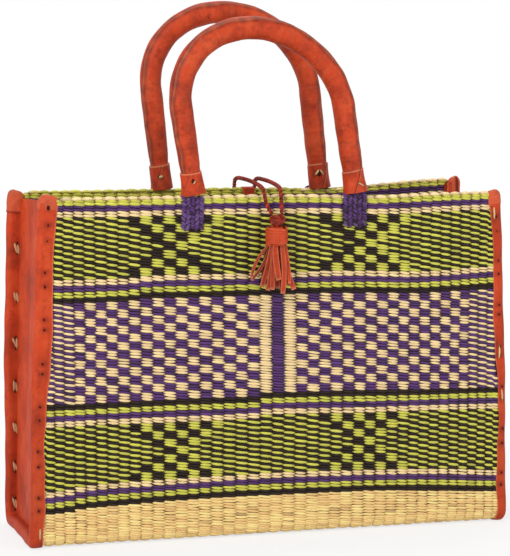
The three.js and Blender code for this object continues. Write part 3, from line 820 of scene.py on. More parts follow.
def wander(across, near):
    """How far the rows stray down from even rows: they bow, and step where a round of weaving ends."""
    # Numbers below are in mm, from the middle of the bag and down from the rim.
    x, down = across / MM, near / MM
    bow = 2.4 * np.exp(-((x - 95 - 0.6 * down) / 52) ** 2) * np.clip((180 - down) / 60, 0, 1)
    left_step = 2.3 / (1 + np.exp((x + 128) / 3)) * np.clip(1 - np.abs(down - 82) / 40, 0, 1)
    middle_step = np.where(x < -20, 0.6, -2.4 + 4.6 * (x + 20) / 215)
    middle_step = middle_step * np.clip(1.3 - np.abs(down - 182) / 40, 0, 1)
    droop = -1.2 + 6.8 * np.abs((x + 30) / 215) ** 2.2 + 2.2 / (1 + np.exp((x + 178) / 3))
    droop = droop * np.clip((down - 200) / 45, 0, 1) * np.clip((355 - down) / 50, 0, 1)
    return (bow + left_step + middle_step + droop) * MM


def straw_at(row, column, inside):
    """Which straw shows at a place of the mat, and how it lies. The other of a pair shows on the inside."""
    columns = setting("shopper_weave").columns
    step = row
    for count, kind in BANDS:
        if step < count:
            break
        step -= count
    else:
        return "natural", "base"
    first = (row + column + inside) % 2 == 0
    if kind == "hourglass":
        reach = abs(step // CHECK_ROWS - CHECK_ROWS)
        for waist in WAISTS:
            short = waist == WAISTS[0] and row < UPPER_BAND_END and step > 4 * CHECK_ROWS - 1
            if waist - reach <= column <= waist + reach + (not short):
                return ("black" if (column - waist + reach + inside) % 2 == 0 else "lime"), "block"
        return ("lime" if first else "black"), "twill"
    if kind == "checks":
        middle = columns // 2
        if abs(column - middle) <= 1:
            return ("purple" if column == middle else "cream"), "block"
        if column < 3 or column >= columns - 3:
            return ("cream" if first else "purple"), "stripe"
        return ("cream" if (step // CHECK_ROWS + column + inside) % 2 == 0 else "purple"), "block"
    return kind, "band"


# How a stitch lies: slant in degrees, and length, thickness and height against a plain stitch.
LAYS = {"base": (6.0, 1.05, 0.9, 1.04), "block": (7.0, 1.02, 1.0, 1.0), "band": (7.0, 0.95, 1.0, 1.02),
        "twill": (8.5, 1.02, 0.95, 0.98), "stripe": (9.5, 1.02, 0.95, 0.96)}


def column_place(column, near):
    """Middle of a column and its width. Columns crowd towards the ends and a little towards the base."""
    bag, weave = setting("shopper_bag"), setting("shopper_weave")
    step = column - (weave.columns - 1) / 2
    crowd = 1 + 0.06 * np.clip(0.43 - near / bag.rim_height, -0.57, 0.43)
    return (step * weave.column_width * (1 - weave.crowding * step ** 2) * crowd,
            weave.column_width * (1 - 3 * weave.crowding * step ** 2) * crowd)


def row_pitch():
    """Distance from row to row, so that the rows of both halves meet under the base."""
    weave = setting("shopper_weave")
    return (mat_length() / 2 - weave.first_row) / weave.half_rows


def lay_face(half, inside, rows, depth):
    """Places and axes of the stitches on one face of one half of the mat, with their straws and sizes."""
    weave, bag = setting("shopper_weave"), setting("shopper_bag")
    random = np.random.default_rng(weave.seed + 10 * (half == "back") + 20 * inside)
    columns = np.arange(-1, weave.columns + 1)
    row, column = (grid.ravel() for grid in np.meshgrid(rows, columns, indexing="ij"))
    seen = column if half == "front" else weave.columns - 1 - column
    run = weave.first_row + row * row_pitch()
    across, width = column_place(seen, run)
    kept = np.abs(across) < bag.bag_width / 2 - 3 * MM
    row, column, seen, run, across, width = (part[kept] for part in (row, column, seen, run, across, width))
    reach = bag.bag_width / 2 - 2.5 * MM - 0.66 * width
    across = np.clip(across, -reach, reach)
    outermost = np.abs(across) > bag.bag_width / 2 - OUTERMOST
    across = across - np.where(outermost, OUTERMOST_SHIFT * np.sign(across), 0)
    run = run + wander(across, run) + 0.25 * MM * np.sin(across * 41 + row * 0.3)
    run = run + random.normal(0, 0.1 * MM, len(row))
    across = across + 0.4 * MM * np.sin(run * 37 + column)
    if half == "back":
        run, across = mat_length() - run, -across
    under = np.abs(across) - bag.bag_width / 2 + strip_width(run, np.sign(across))
    deep = np.interp(under, PAST_EDGE, EDGE_SINK)
    deep = deep + random.normal(0, 0.12 * MM, len(row))
    below = np.abs(run - mat_length() / 2) < mat_length() / 2 - bag.rim_height + bag.corner_radius
    deep = deep + np.where(below & (not inside), BASE_SINK, 0)
    out = -bag.mat_thickness + depth + 0.4 * deep if inside else -depth - deep
    places = on_mat(across, run, out)
    right, down = mat_axes(across, run, out)
    normal = unit(np.cross(down, right))
    if half == "back":
        right, down = -right, -down
    if inside:
        right, normal = -right, -normal
    found = [straw_at(r, c, int(inside)) for r, c in zip(row.tolist(), seen.tolist())]
    straws = np.array([straw for straw, lay in found])
    lays = np.array([LAYS[lay] for straw, lay in found])
    lean = np.radians(lays[:, 0] + random.normal(0, 1.5, len(row)))
    axis = slanted(right, down, lean)
    tones = uneven_tones(random, len(row), 0.48, 0.12)
    sizes = lays[:, 1:] * random.uniform(SMALLEST, LARGEST, (len(row), 3))
    sizes[:, 0] *= width / weave.column_width * np.where(outermost, OUTERMOST_LENGTH, 1)
    dark = np.isin(straws, ("purple", "black"))
    sizes[:, 0] *= np.where(dark, DARK_LENGTH, np.where(straws == "natural", 1, PALE_LENGTH))
    sizes[:, 2] *= np.where((lays[:, 0] == LAYS["twill"][0]) & (straws == "lime"), LIME_TWILL_HEIGHT, 1)
    return places, axis, normal, straws, tones, sizes


STRAW_SLOTS = {"natural": "straw", "cream": "straw", "lime": "rim_straw", "purple": "purple_straw",
               "black": "straw"}


class SHOPPER_OT_weave(Operator):
    """Weave the mat: ribs in the middle, slanted straw stitches on both faces"""
    bl_idname = "shopper.weave"
    bl_label = "Weave Mat"

    def execute(self, context):
        bag, weave = setting("shopper_bag"), setting("shopper_weave")
        edge = bag.bag_width / 2 - 2.4 * MM
        across = np.linspace(-edge, edge, 2 * weave.columns + 5)
        run = np.linspace(RIBS_TOP, mat_length() - RIBS_TOP, RIBS_ROWS)
        # The ribs show dark in the gaps between the stitches: painted shade.
        points, faces = slab(on_mat(across[None], run[:, None], -RIBS_DEPTH), RIBS_THICKNESS)
        make_piece("mat_ribs", "bag", points, faces, material("core"), ["woven_mat"])

        shape = {"Length": 1.34 * weave.column_width, "Height": weave.stitch_height,
                 "Thickness": weave.stitch_thickness, "Bulge": 1.3 * MM, "Dip": 1.2 * MM,
                 "Tip": 0.2, "Taper": 0.6, "Steps": 7}
        for half in ("front", "back"):
            rows = np.arange(RIM_ROWS, weave.half_rows + (half == "front"))
            for inside in (False, True):
                places, axis, normal, straws, tones, sizes = lay_face(half, inside, rows, STITCH_DEPTH)
                for straw in STRAW_SLOTS:
                    kept = straws == straw
                    fine = {**shape, "Sides": 5, "Steps": 4} if inside else {**shape}
                    if straw == "natural":
                        fine["Taper"] = 0.42
                    name = f"{half}_{'inner' if inside else 'outer'}_{straw}_weave"
                    make_stitches(name, "bag", places[kept], axis[kept], normal[kept], straw, fine,
                                  tones[kept], sizes[kept])
        return {"FINISHED"}


# Rims

# The crest of the back rim is lime up to this place, and cream from there to the right end.
LIME_CREST_END = 60 * MM
CREST_RUN = 2.2 * MM
CREST_SKEW = 1.6 * MM
RIM_CORE_RUN = 4.6 * MM
RIM_CORE_RADIUS = 2.0 * MM


def rim_reach():
    """How far the rims reach to either side, up to the leather."""
    bag = setting("shopper_bag")
    return bag.bag_width / 2 - bag.binding_face


def make_rim_rows(half):
    """Plump lime stitches on both faces of a rim."""
    shape = {"Length": setting("shopper_weave").column_width * 1.4, "Height": 3.0 * MM,
             "Thickness": 2.9 * MM, "Bulge": 1.5 * MM, "Dip": 1.3 * MM, "Tip": 0.4, "Taper": 0.4}
    rows = np.arange(RIM_ROWS)
    faces = [lay_face(half, inside, rows, RIM_STITCH_DEPTH) for inside in (False, True)]
    places, axis, normal, _, tones, sizes = (np.concatenate(part) for part in zip(*faces))
    kept = np.abs(places[:, 0]) < rim_reach() * 0.98
    make_stitches(f"{half}_rim_rows", "bag", places[kept], axis[kept], normal[kept], "lime", shape,
                  tones[kept], sizes[kept], [f"{half}_rim_braid"])


def make_rim_crest(half):
    """Slanted loops over the edge of a rim. The back one leaves room for the tab."""
    bag, weave = setting("shopper_bag"), setting("shopper_weave")
    shape = {"Length": weave.column_width * 1.5, "Height": 5.6 * MM, "Thickness": 3.2 * MM,
             "Bulge": 1.7 * MM, "Dip": 1.7 * MM, "Tip": 0.4, "Taper": 0.5, "Unevenness": 0.12,
             "Steps": 6, "Sides": 8}
    at_back = half == "back"
    random = np.random.default_rng(weave.seed + 40 + at_back)
    column = np.arange(1, weave.columns - 1)
    across, width = column_place(column, 2 * MM)
    across = across + random.normal(0, 0.3 * MM, len(column))
    strip = strip_width(np.full(len(column), 6 * MM), np.sign(across))
    clear = np.abs(across) + width / 2 < bag.bag_width / 2 - strip + 2 * MM
    if at_back:
        clear = clear & (np.abs(across - bag.tab_middle) > 7 * MM)
    across, width = across[clear], width[clear]
    run = CREST_RUN + wander(across, 2 * MM)
    run = mat_length() - run if at_back else run
    skew = -CREST_SKEW if at_back else CREST_SKEW
    middle = -bag.mat_thickness / 2
    places = on_mat(across, run, middle)
    ahead = on_mat(across + width / 2, run, middle - skew)
    behind = on_mat(across - width / 2, run, middle + skew)
    axis = unit(ahead - behind) - np.array([0, 0, 0.14])
    upward = np.tile((0.0, 0.0, 1.0), (len(across), 1))
    sizes = np.stack([width / weave.column_width, np.ones(len(across)), np.ones(len(across))], 1)
    tones = uneven_tones(random, len(across))
    lime = (across < LIME_CREST_END) & at_back
    for straw, kept in (("cream", ~lime), ("lime", lime)):
        if kept.any():
            make_stitches(f"{half}_rim_{straw}_crest", "bag", places[kept], axis[kept], upward[kept],
                          straw, shape, tones[kept], sizes[kept])


def make_rim_core(half):
    """The filling inside a rim, coloured as painted shade in the gaps between its stitches."""
    across = np.linspace(-rim_reach(), rim_reach(), 120)
    run = mat_length() - RIM_CORE_RUN if half == "back" else RIM_CORE_RUN
    path = on_mat(across, np.full(len(across), run), -setting("shopper_bag").mat_thickness / 2)
    points, faces = strand(path, RIM_CORE_RADIUS, 10, (0, 0, 1), 0.95)
    make_piece(f"{half}_rim_core", "bag", points, faces, material("rim core"))


class SHOPPER_OT_rims(Operator):
    """Plait the two rims: lime rows on both faces, loops over the edge"""
    bl_idname = "shopper.rims"
    bl_label = "Plait Rims"

    def execute(self, context):
        for half in ("front", "back"):
            make_rim_rows(half)
            make_rim_crest(half)
            make_rim_core(half)
        return {"FINISHED"}


# Leather ends

# Stitch holes in the outer strip, down from the rim: a single one, then pairs.
TOP_HOLE = 8 * MM
FIRST_PAIR = 25 * MM
PAIR_PITCH = 38 * MM
PAIR_GAP = 10.5 * MM
HOLE_PAIRS = 7
LAP_STITCHES = 7
BINDING_STEPS = 330
GUSSET_LEVELS, GUSSET_COLUMNS = 60, 49
CAP_SIDES = 32
# The sides of a pinched cap that are darkened with painted shade, for the slit between its two flaps.
PINCHED_SIDES = slice(24, 26)


def end_name(end):
    """Ends and feet are -1 at the left and 1 at the right."""
    return "left" if end < 0 else "right"


def make_leather(name, body, points, faces, node, wear, crease, kind="leather", sharp=40):
    """A piece of dyed leather in place of a solid, with values that say where it is worn, where it carries a
    painted highlight and where it is darkened, mostly by painted shade.
    """
    layers = {"wear": wear, "crease": crease}
    return make_piece(name, body, points, faces, material(kind), [node], layers, sharp)


def binding_section(width):
    """Section of a bound edge, over strip, fold and lap: distance in from the end, and out from the mat."""
    bag = setting("shopper_bag")
    radius = bag.bound_edge / 2
    strip = np.linspace(width, radius, 8)
    fold = np.linspace(0, math.pi, 11)[1:-1]
    lap = np.linspace(radius, bag.binding_lap, 7)
    inset = np.concatenate([strip, radius - radius * np.sin(fold), lap])
    out = np.concatenate([np.zeros(len(strip)), -radius + radius * np.cos(fold),
                          np.full(len(lap), -2 * radius)])
    return inset, out


# Width of the outer strips in mm, at distances down from the rim in mm.
STRIP_RUNS = (0, 40, 110, 170, 220, 265, 330)
LEFT_STRIP = (14, 11.4, 12, 10.7, 8.6, 10.5, 11)
RIGHT_STRIP = (10.5, 8.2, 8.6, 7.5, 6.4, 8.8, 10)


def strip_width(run, end):
    """Width of the hand-cut strip on the outer face, widest at the rim and narrowest above the base."""
    near = np.minimum(run, mat_length() - run) / MM
    left = np.interp(near, STRIP_RUNS, LEFT_STRIP)
    right = np.interp(near, STRIP_RUNS, RIGHT_STRIP)
    return (np.where(end < 0, left, right) + 0.4 * np.sin(near / 17) + 0.25 * np.sin(near / 6 + 1)) * MM


def face_holes():
    """Places along the mat where the sewing goes through the outer strip."""
    first = FIRST_PAIR + PAIR_PITCH * np.arange(HOLE_PAIRS)
    near = np.concatenate([[TOP_HOLE], first, first + PAIR_GAP])
    near = near + 1.5 * MM * np.sin(near / (5 * MM))
    return np.sort(np.concatenate([near, mat_length() - near]))


def lap_stitches():
    """Places along the mat of the thick stitches inside the end recess, closer together towards the base."""
    count = np.arange(LAP_STITCHES)
    near = (52 + 44 * count - count ** 2) * MM
    return np.sort(np.concatenate([near, mat_length() - near]))


def make_binding(end):
    """Leather strip folded round the mat's edge and the gusset's flange, drawn in by its sewing."""
    bag = setting("shopper_bag")
    name = end_name(end)
    start = 5 * MM
    run = np.linspace(start, mat_length() - start, BINDING_STEPS)
    holes, laps = face_holes(), lap_stitches()
    rows, darkening_rows = [], []
    for at in run:
        width = float(strip_width(at, end))
        inset, out = binding_section(width)
        across = np.linspace(0, 1, len(inset))
        pull = 0.35 * MM * math.sin(at / (21 * MM)) + 0.2 * MM * math.sin(at / (6.3 * MM) + 1)
        plump = 0.5 * MM * np.sin(math.pi * across) + pull * np.sin(2 * math.pi * across)
        hole = np.exp(-((at - holes) / (2.4 * MM)) ** 2).max()
        lap = np.exp(-((at - laps) / (6 * MM)) ** 2).max()
        face = np.exp(-((inset - 0.6 * width) / (2.6 * MM)) ** 2) * (out > -1 * MM)
        valley = np.exp(-((inset - bag.binding_lap + 3 * MM) / (3.4 * MM)) ** 2) * (out < -8 * MM)
        out = out + plump * np.where(out < -8 * MM, -1, 1) - 0.7 * MM * hole * face + 0.9 * MM * lap * valley
        rows.append(on_mat(end * (bag.bag_width / 2 - inset - 0.3 * MM + pull), at, out))
        # Painted shade in the dents round the holes and in the sewn valley, and darker towards the base.
        low = np.interp(min(at, mat_length() - at), (130 * MM, 230 * MM), (0, 0.2))
        darkening_rows.append(low + 0.5 * hole * face + (0.2 + 0.5 * lap) * valley)
    grid, crease = np.array(rows), np.array(darkening_rows)
    if end < 0:
        grid, crease = grid[:, ::-1], crease[:, ::-1]
    points, faces = slab(grid, bag.leather)
    wear = np.zeros(grid.shape[:2])
    wear[:, [0, -1]] = 0.35
    make_leather(f"{name}_leather_binding", "bag", points, faces, f"{name}_binding",
                 np.tile(wear.ravel(), 2), np.tile(crease.ravel(), 2))


RIDGE_HEIGHT = 1.6 * MM
HOLLOW_DEPTH = 1.4 * MM


def make_gusset(end, fold, sag, slope):
    """Soft end panel. It folds inwards at the rim, and its upper edge hangs and slopes down to the back."""
    bag = setting("shopper_bag")
    name = end_name(end)
    top = bag.rim_height - 3 * MM
    outside = bag.bag_width / 2 - bag.binding_lap + 0.8 * MM
    seat = bag.bound_edge - bag.leather - 1.2 * MM
    bend = bag.corner_radius - seat
    turn = np.linspace(0, math.pi / 2, 9)
    levels = np.concatenate([bag.corner_radius - bend * np.cos(turn),
                             np.linspace(bag.corner_radius, top, GUSSET_LEVELS)[1:]])
    halves = np.concatenate([bag.base_depth / 2 - bag.corner_radius + bend * np.sin(turn),
                             np.full(GUSSET_LEVELS - 1, bag.base_depth / 2 - seat)])
    z, part = np.meshgrid(levels, np.linspace(-1, 1, GUSSET_COLUMNS), indexing="ij")
    up = z / top
    inward = fold * (1 - np.abs(part)) * up ** 2
    ridge = RIDGE_HEIGHT * np.exp(-((part + 0.45 - 0.1 * up) / 0.16) ** 2)
    ridge = ridge * np.sin(math.pi * np.clip(up, 0, 1) ** 0.7)
    hollow = HOLLOW_DEPTH * np.exp(-((part - 0.55 + 0.12 * np.sin(up * 4)) / 0.22) ** 2)
    ripple = 0.35 * MM * np.sin(up * 21 + part * 2) * np.sin(part * 5 + 1)
    free = np.clip(up * 12, 0, 1) * (1 - part ** 8)
    x = end * (outside - inward + (ridge - hollow + ripple) * free)
    z = z - (sag * (1 - part ** 4) + slope * (0.4 + 0.3 * (1 + part))) * np.clip(up, 0, 1) ** 3
    points = bag_form(np.stack([x.ravel(), (part * halves[:, None]).ravel(), z.ravel()], 1))
    grid = points.reshape(*z.shape, 3)
    panel = slab(grid if end > 0 else grid[:, ::-1], bag.leather * 0.9)
    flange_start = 6 * MM
    run = np.linspace(flange_start, mat_length() - flange_start, 120)
    inset = np.array([bag.binding_lap + 1.5 * MM, bag.binding_lap - 2 * MM, 3 * MM])
    strip = on_mat(end * (bag.bag_width / 2 - inset)[None], run[:, None], -(bag.mat_thickness + 0.35 * MM))
    flange = slab(strip if end < 0 else strip[:, ::-1], bag.leather * 0.9)
    points, faces = joined(panel, flange)
    wear, crease = np.zeros(len(points)), np.zeros(len(points))
    # The ridge is lighter, a painted highlight, and the top edge of the left panel is lighter; the hollow
    # and the sides of the panel are darker, painted shade.
    wear[:z.size] = (0.12 * ridge / RIDGE_HEIGHT + 0.3 * (up > 0.995) * (end < 0)).ravel()
    shade_in = 0.3 * hollow / HOLLOW_DEPTH + 0.5 * np.clip(np.abs(part) - 0.9, 0, 1) / 0.1
    if end < 0:
        wear[:z.size] = wear[:z.size].reshape(z.shape)[:, ::-1].ravel()
        shade_in = shade_in[:, ::-1]
    crease[:z.size] = np.clip(shade_in, 0, 0.6).ravel()
    make_leather(f"{name}_leather_gusset", "bag", points, faces, f"{name}_gusset", wear, crease)


def make_cap(end, side, rise, lip, pinch):
    """Leather drawn over the top of a bound edge like a thimble. Its foot tucks in or stands out."""
    bag = setting("shopper_bag")
    name = f"{end_name(end)}_{'front' if side < 0 else 'back'}"
    inner = float(strip_width(6 * MM, end)) if side < 0 else bag.binding_lap - pinch
    half_wide, half_deep = (inner + 1.4 * MM) / 2, bag.bound_edge / 2 + 0.9 * MM
    crown, foot = 6.5 * MM, 13 * MM if side < 0 else 20 * MM
    body = np.linspace(0, 1, 7)
    dome = np.linspace(0, math.pi / 2, 9)[1:]
    drop = np.concatenate([-foot + (foot - crown) * body, -crown + crown * np.sin(dome)])
    scale = np.concatenate([1 + lip * (1 - body) ** 2, np.maximum(np.cos(dome), 0.04) ** 0.75])
    around = np.linspace(0, 2 * math.pi, CAP_SIDES + 1)[:-1]
    power = 0.72
    wide = half_wide * np.sign(np.cos(around)) * np.abs(np.cos(around)) ** power
    deep = half_deep * np.sign(np.sin(around)) * np.abs(np.sin(around)) ** power
    rings = []
    for level, size in zip(drop, scale):
        dent = 1 + 0.03 * np.sin(3 * around + level / (2 * MM))
        x = end * (bag.bag_width / 2 + 0.2 * MM - half_wide + wide * size * dent)
        y = side * (bag.base_depth / 2 - bag.bound_edge / 2 + deep * size * dent)
        z = bag.rim_height + rise + np.broadcast_to(level, x.shape) + 0.5 * MM * np.cos(around)
        rings.append(bag_form(np.stack([x, y, z], 1)))
    points, faces = tube(np.array(rings))
    # Painted shade: the foot ring under a lip that stands out, fainter under one tucked in, and the slit of
    # a pinched cap. The rest is rubbed lighter.
    crease = np.zeros((len(rings), len(around)))
    crease[0] = 0.7 if lip > 0 else 0.1
    if pinch:
        crease[:, PINCHED_SIDES] = 0.9
    make_leather(f"{name}_leather_cap", "bag", points, faces, f"{name}_cap",
                 np.where(crease > 0, 0, 0.14).ravel(), crease.ravel())


def sew(name, end, runs, inset, out, tilt, straw, shape, seed):
    """Stitches in a bound edge, at distances along the mat and in from the end."""
    bag = setting("shopper_bag")
    random = np.random.default_rng(seed)
    runs = np.asarray(runs)
    across = end * (bag.bag_width / 2 - np.broadcast_to(inset, runs.shape))
    places = on_mat(across, runs, out)
    over, along = mat_axes(across, runs, out)
    normal = unit(np.cross(along, over))
    if np.mean(out) < -bag.mat_thickness:
        normal = -normal
    tilt = tilt + random.normal(0, 0.12, len(runs))
    make_stitches(name, "bag", places, slanted(along, over, tilt), normal, straw, shape,
                  uneven_tones(random, len(runs)), None)


# Fold, sag and slope of the gusset at each end.
GUSSET_FORMS = {-1: (3 * MM, 0, 4.5 * MM), 1: (10 * MM, 12 * MM, 10 * MM)}
# Rise, lip and pinch of each cap, by end and side.
CAP_FORMS = {(-1, -1): (1.6 * MM, -0.07, 0), (-1, 1): (0, 0.06, 0), (1, -1): (0, -0.07, 0),
             (1, 1): (0, -0.04, 3 * MM)}
# Stitches over the edge of each binding, as distances along the mat from the front rim.
FACE_STITCHES = {-1: (284 * MM,), 1: (20 * MM, 145 * MM, 183 * MM)}
FACE_STITCH_INSET = 2.5 * MM
LAP_INSET = 3.2 * MM
# Each inner stitch has two strands, this far from its middle, and a hole at either end.
STRAND_ALONG, STRAND_ACROSS = 0.6 * MM, 0.8 * MM
HOLE_ALONG = 5 * MM


class SHOPPER_OT_leather_ends(Operator):
    """Close the two ends: gussets, folded bindings round the edges of the mat, caps and sewing"""
    bl_idname = "shopper.leather_ends"
    bl_label = "Bind Ends"

    def execute(self, context):
        bag = setting("shopper_bag")
        thick = straw_shape(10, 2.6, 2.4, 1.3, 1.0, Steps=6)
        thread = straw_shape(13, 1.8, 1.5, 0.9, 0.9)
        # Holes are small dark pieces: painted shade in the holes.
        hole = straw_shape(2.3, 1.6, 0.8, 0.1, Tip=0.5)
        cap_hole = straw_shape(3.6, 3, 0.8, 0.1, Tip=0.5)
        lap_seat = bag.binding_lap - LAP_INSET
        for end in (-1, 1):
            name = end_name(end)
            make_gusset(end, *GUSSET_FORMS[end])
            make_binding(end)
            for side in (-1, 1):
                make_cap(end, side, *CAP_FORMS[end, side])
            if end < 0:
                sew("left_cap_hole", end, [9 * MM], 7 * MM, 1.1 * MM, 0.3, "hole", cap_hole, seed=8)
            holes = face_holes()
            middle = 0.6 * strip_width(holes, end)
            sew(f"{name}_stitch_holes", end, holes, middle, -0.1 * MM, 0.3, "hole", hole, seed=3)
            laps = lap_stitches()
            both = np.concatenate([laps - STRAND_ALONG, laps + STRAND_ALONG])
            seat = lap_seat + np.repeat([STRAND_ACROSS, -STRAND_ACROSS], len(laps))
            sew(f"{name}_inner_sewing", end, both, seat, -bag.bound_edge - 0.3 * MM, -0.2, "sinew", thick,
                seed=4)
            ends = np.concatenate([laps - HOLE_ALONG, laps + HOLE_ALONG])
            sew(f"{name}_inner_holes", end, ends, lap_seat, -bag.bound_edge + 0.2 * MM, 0.3, "hole", hole,
                seed=6)
            few = np.array(FACE_STITCHES[end])
            inset = strip_width(few, end) - FACE_STITCH_INSET
            sew(f"{name}_face_sewing", end, few, inset, 0.5 * MM, 0.1, "thread", thread, seed=5)
        return {"FINISHED"}


# Handles

LEG_POINTS, BOW_POINTS = 30, 120
COVER_STEPS, COVER_SIDES = 260, 28
COVER_FOOT = -3 * MM
# Angle of the lap at the left foot and how far it turns on the way to the right foot, in degrees.
SEAM_START, SEAM_TURN = 24, 27
# Girth of a cover against the set radius, at shares of the way over the arch.
GIRTH_SHARES = (0, 0.035, 0.09, 0.3, 0.5, 0.7, 0.92, 0.965, 1)
GIRTHS = (0.86, 0.87, 1.02, 1.05, 1.07, 1.05, 1.04, 0.93, 0.9)
WRINKLE_DEPTH = 0.08 * MM
CUFF_LEVELS, CUFF_SIDES = 15, 34


class Arch:
    """Centre line of one handle, in the frame of its tilting line."""

    def __init__(self, name):
        handles, bag = setting("shopper_handles"), setting("shopper_bag")
        self.name = name
        self.side = -1 if name == "front" else 1
        self.top = getattr(handles, f"{name}_height") - handles.tilt_height
        self.sway = getattr(handles, f"{name}_sway")
        self.offset = getattr(handles, f"{name}_offset")
        self.span = handles.half_span
        self.spring = self.top - handles.arch_rise
        rim = bag.bag_width - bag.rim_narrowing
        widening = bag.mouth_right - bag.mouth_left
        slope = -widening / 2 / rim
        mouth = (bag.mouth_left + bag.mouth_right) / 2 + widening * self.offset / rim
        self.turn = -self.side * math.atan(slope)
        self.origin = np.array([self.offset, self.side * (mouth - bag.mat_thickness) / 2,
                                bag.rim_height + handles.tilt_height])

    def lean(self, points):
        """Points moved sideways with the lean of the arch."""
        leaned = points.copy()
        leaned[..., 0] += self.sway * points[..., 2] / self.top
        return leaned

    def line(self, foot, count):
        """Evenly spaced points from the left foot over the top to the right foot."""
        handles = setting("shopper_handles")
        legs = np.linspace(foot, self.spring, LEG_POINTS)
        sweep = np.linspace(math.pi, 0, BOW_POINTS)
        height = self.spring + handles.arch_rise * np.sin(sweep)
        bow = np.stack([self.span * np.cos(sweep), 0 * sweep, height], 1)
        left = np.stack([np.full(LEG_POINTS, -self.span), np.zeros(LEG_POINTS), legs], 1)
        right = left[::-1] * (-1, 1, 1)
        return evenly(self.lean(np.concatenate([left[:-1], bow, right[1:]])), count)

    def place(self, points):
        """Points turned along the rim and moved from the tilting line's frame to the bag's."""
        cos, sin = math.cos(self.turn), math.sin(self.turn)
        turned = points.copy()
        turned[..., 0] = cos * points[..., 0] - sin * points[..., 1]
        turned[..., 1] = sin * points[..., 0] + cos * points[..., 1]
        return turned + self.origin


def lapped_ring(count, seam, step, spread):
    """Angles round a lapped tube and how far the leather stands out at each, highest at the cut edge."""
    sweep = np.concatenate([[0.0], np.linspace(0.02, 2 * math.pi - 0.03, count - 1)])
    rise = step * np.exp(-sweep / spread)
    return seam + sweep, rise


def make_cover(arch):
    """Leather sewn round the grass core. Its lap runs along the outer side of the arch."""
    handles = setting("shopper_handles")
    path = arch.line(COVER_FOOT, COVER_STEPS)
    tangent = unit(np.gradient(path, axis=0))
    outer = np.stack([-tangent[:, 2], 0 * tangent[:, 1], tangent[:, 0]], 1)
    front = np.array([0.0, -1.0, 0.0])
    run = np.linspace(0, 1, COVER_STEPS)
    # The lap runs a little crooked.
    seam = np.radians(SEAM_START + SEAM_TURN * run) + 0.08 * np.sin(run * 31) + 0.06 * np.sin(run * 83 + 1)
    girth = handles.radius * np.interp(run, GIRTH_SHARES, GIRTHS)
    random = np.random.default_rng(len(arch.name))
    wrinkle = random.uniform(-1, 1, COVER_STEPS)
    turn = random.uniform(0, 2 * math.pi, COVER_STEPS)
    rings, wear, crease = [], [], []
    for i in range(COVER_STEPS):
        angles, rise = lapped_ring(COVER_SIDES, seam[i], handles.lap, 0.9)
        swell = 0.16 * MM * math.sin(run[i] * 47) + 0.12 * MM * math.sin(run[i] * 101 + 2)
        fold = wrinkle[i] * (0.5 + 0.5 * np.cos(angles - turn[i]))
        radius = girth[i] + rise + swell + WRINKLE_DEPTH * fold
        spokes = np.cos(angles)[:, None] * outer[i] + np.sin(angles)[:, None] * front
        rings.append(path[i] + radius[:, None] * spokes)
        # A dark line along the lap. Painted shade on the inner and outer sides of the tube and in the
        # troughs of the wrinkles; the crests are a little lighter.
        notch = 0.75 + 0.25 * math.sin(run[i] * 190) * math.sin(run[i] * 37)
        wear.append(np.where(np.arange(COVER_SIDES) == 1, 0.25, 0.06 * np.maximum(0, fold)))
        edge = np.interp(np.arange(COVER_SIDES), (0, 1, 2, 3, COVER_SIDES - 3, COVER_SIDES - 1),
                         (1, 1, 0.7, 0, 0, 1))
        painted_shade = 0.2 * np.maximum(0, -np.cos(angles)) ** 2 + 0.12 * np.maximum(0, np.cos(angles)) ** 2
        crease.append(np.maximum(edge * notch, painted_shade + 0.1 * np.maximum(0, -fold)))
    points, faces = tube(np.array(rings))
    make_leather(f"{arch.name}_handle_leather", f"{arch.name}_handle", arch.place(points), faces,
                 f"{arch.name}_handle_cover", np.concatenate(wear), np.concatenate(crease),
                 "handle leather")


CUFF_LEATHER = 1.3 * MM
# The legs of a handle are thinner than its arch where the cuffs hold them.
LEG_SHARE = 0.9
# How far the foot of a cuff spreads sideways, and how much longer it is than in the solids.
CUFF_FLARE = {"front": 1.9 * MM, "back": 0.7 * MM}
CUFF_EXTRA = {"front": 0, "back": 3 * MM}
# Straw that shows on each cuff: which straw, length and width in mm, then for each stitch
# its place across and up in mm and its tilt in degrees.
# The holes are small dark pieces: painted shade.
CUFF_SEWING = {
    "front_left": (("hole", 4.5, 2.4, ((-2.2, 1.4, 70),)),
                   ("thread", 3.2, 1.2, ((-1.2, 0.2, 60),))),
    "front_right": (("thread", 7.5, 1.4, ((2.5, -3.5, -26),)),),
    "back_left": (("hole", 5.4, 4.2, ((-1.9, -2.1, 0),)),
                  ("thread", 4.0, 3.2, ((-1.9, -2.1, 20),))),
    "back_right": (("hole", 5, 3, ((-1.6, -0.4, 90),)),
                   ("thread", 6.5, 2.0, ((-3.8, 0.9, 58), (0.6, 0.9, -58)))),
}


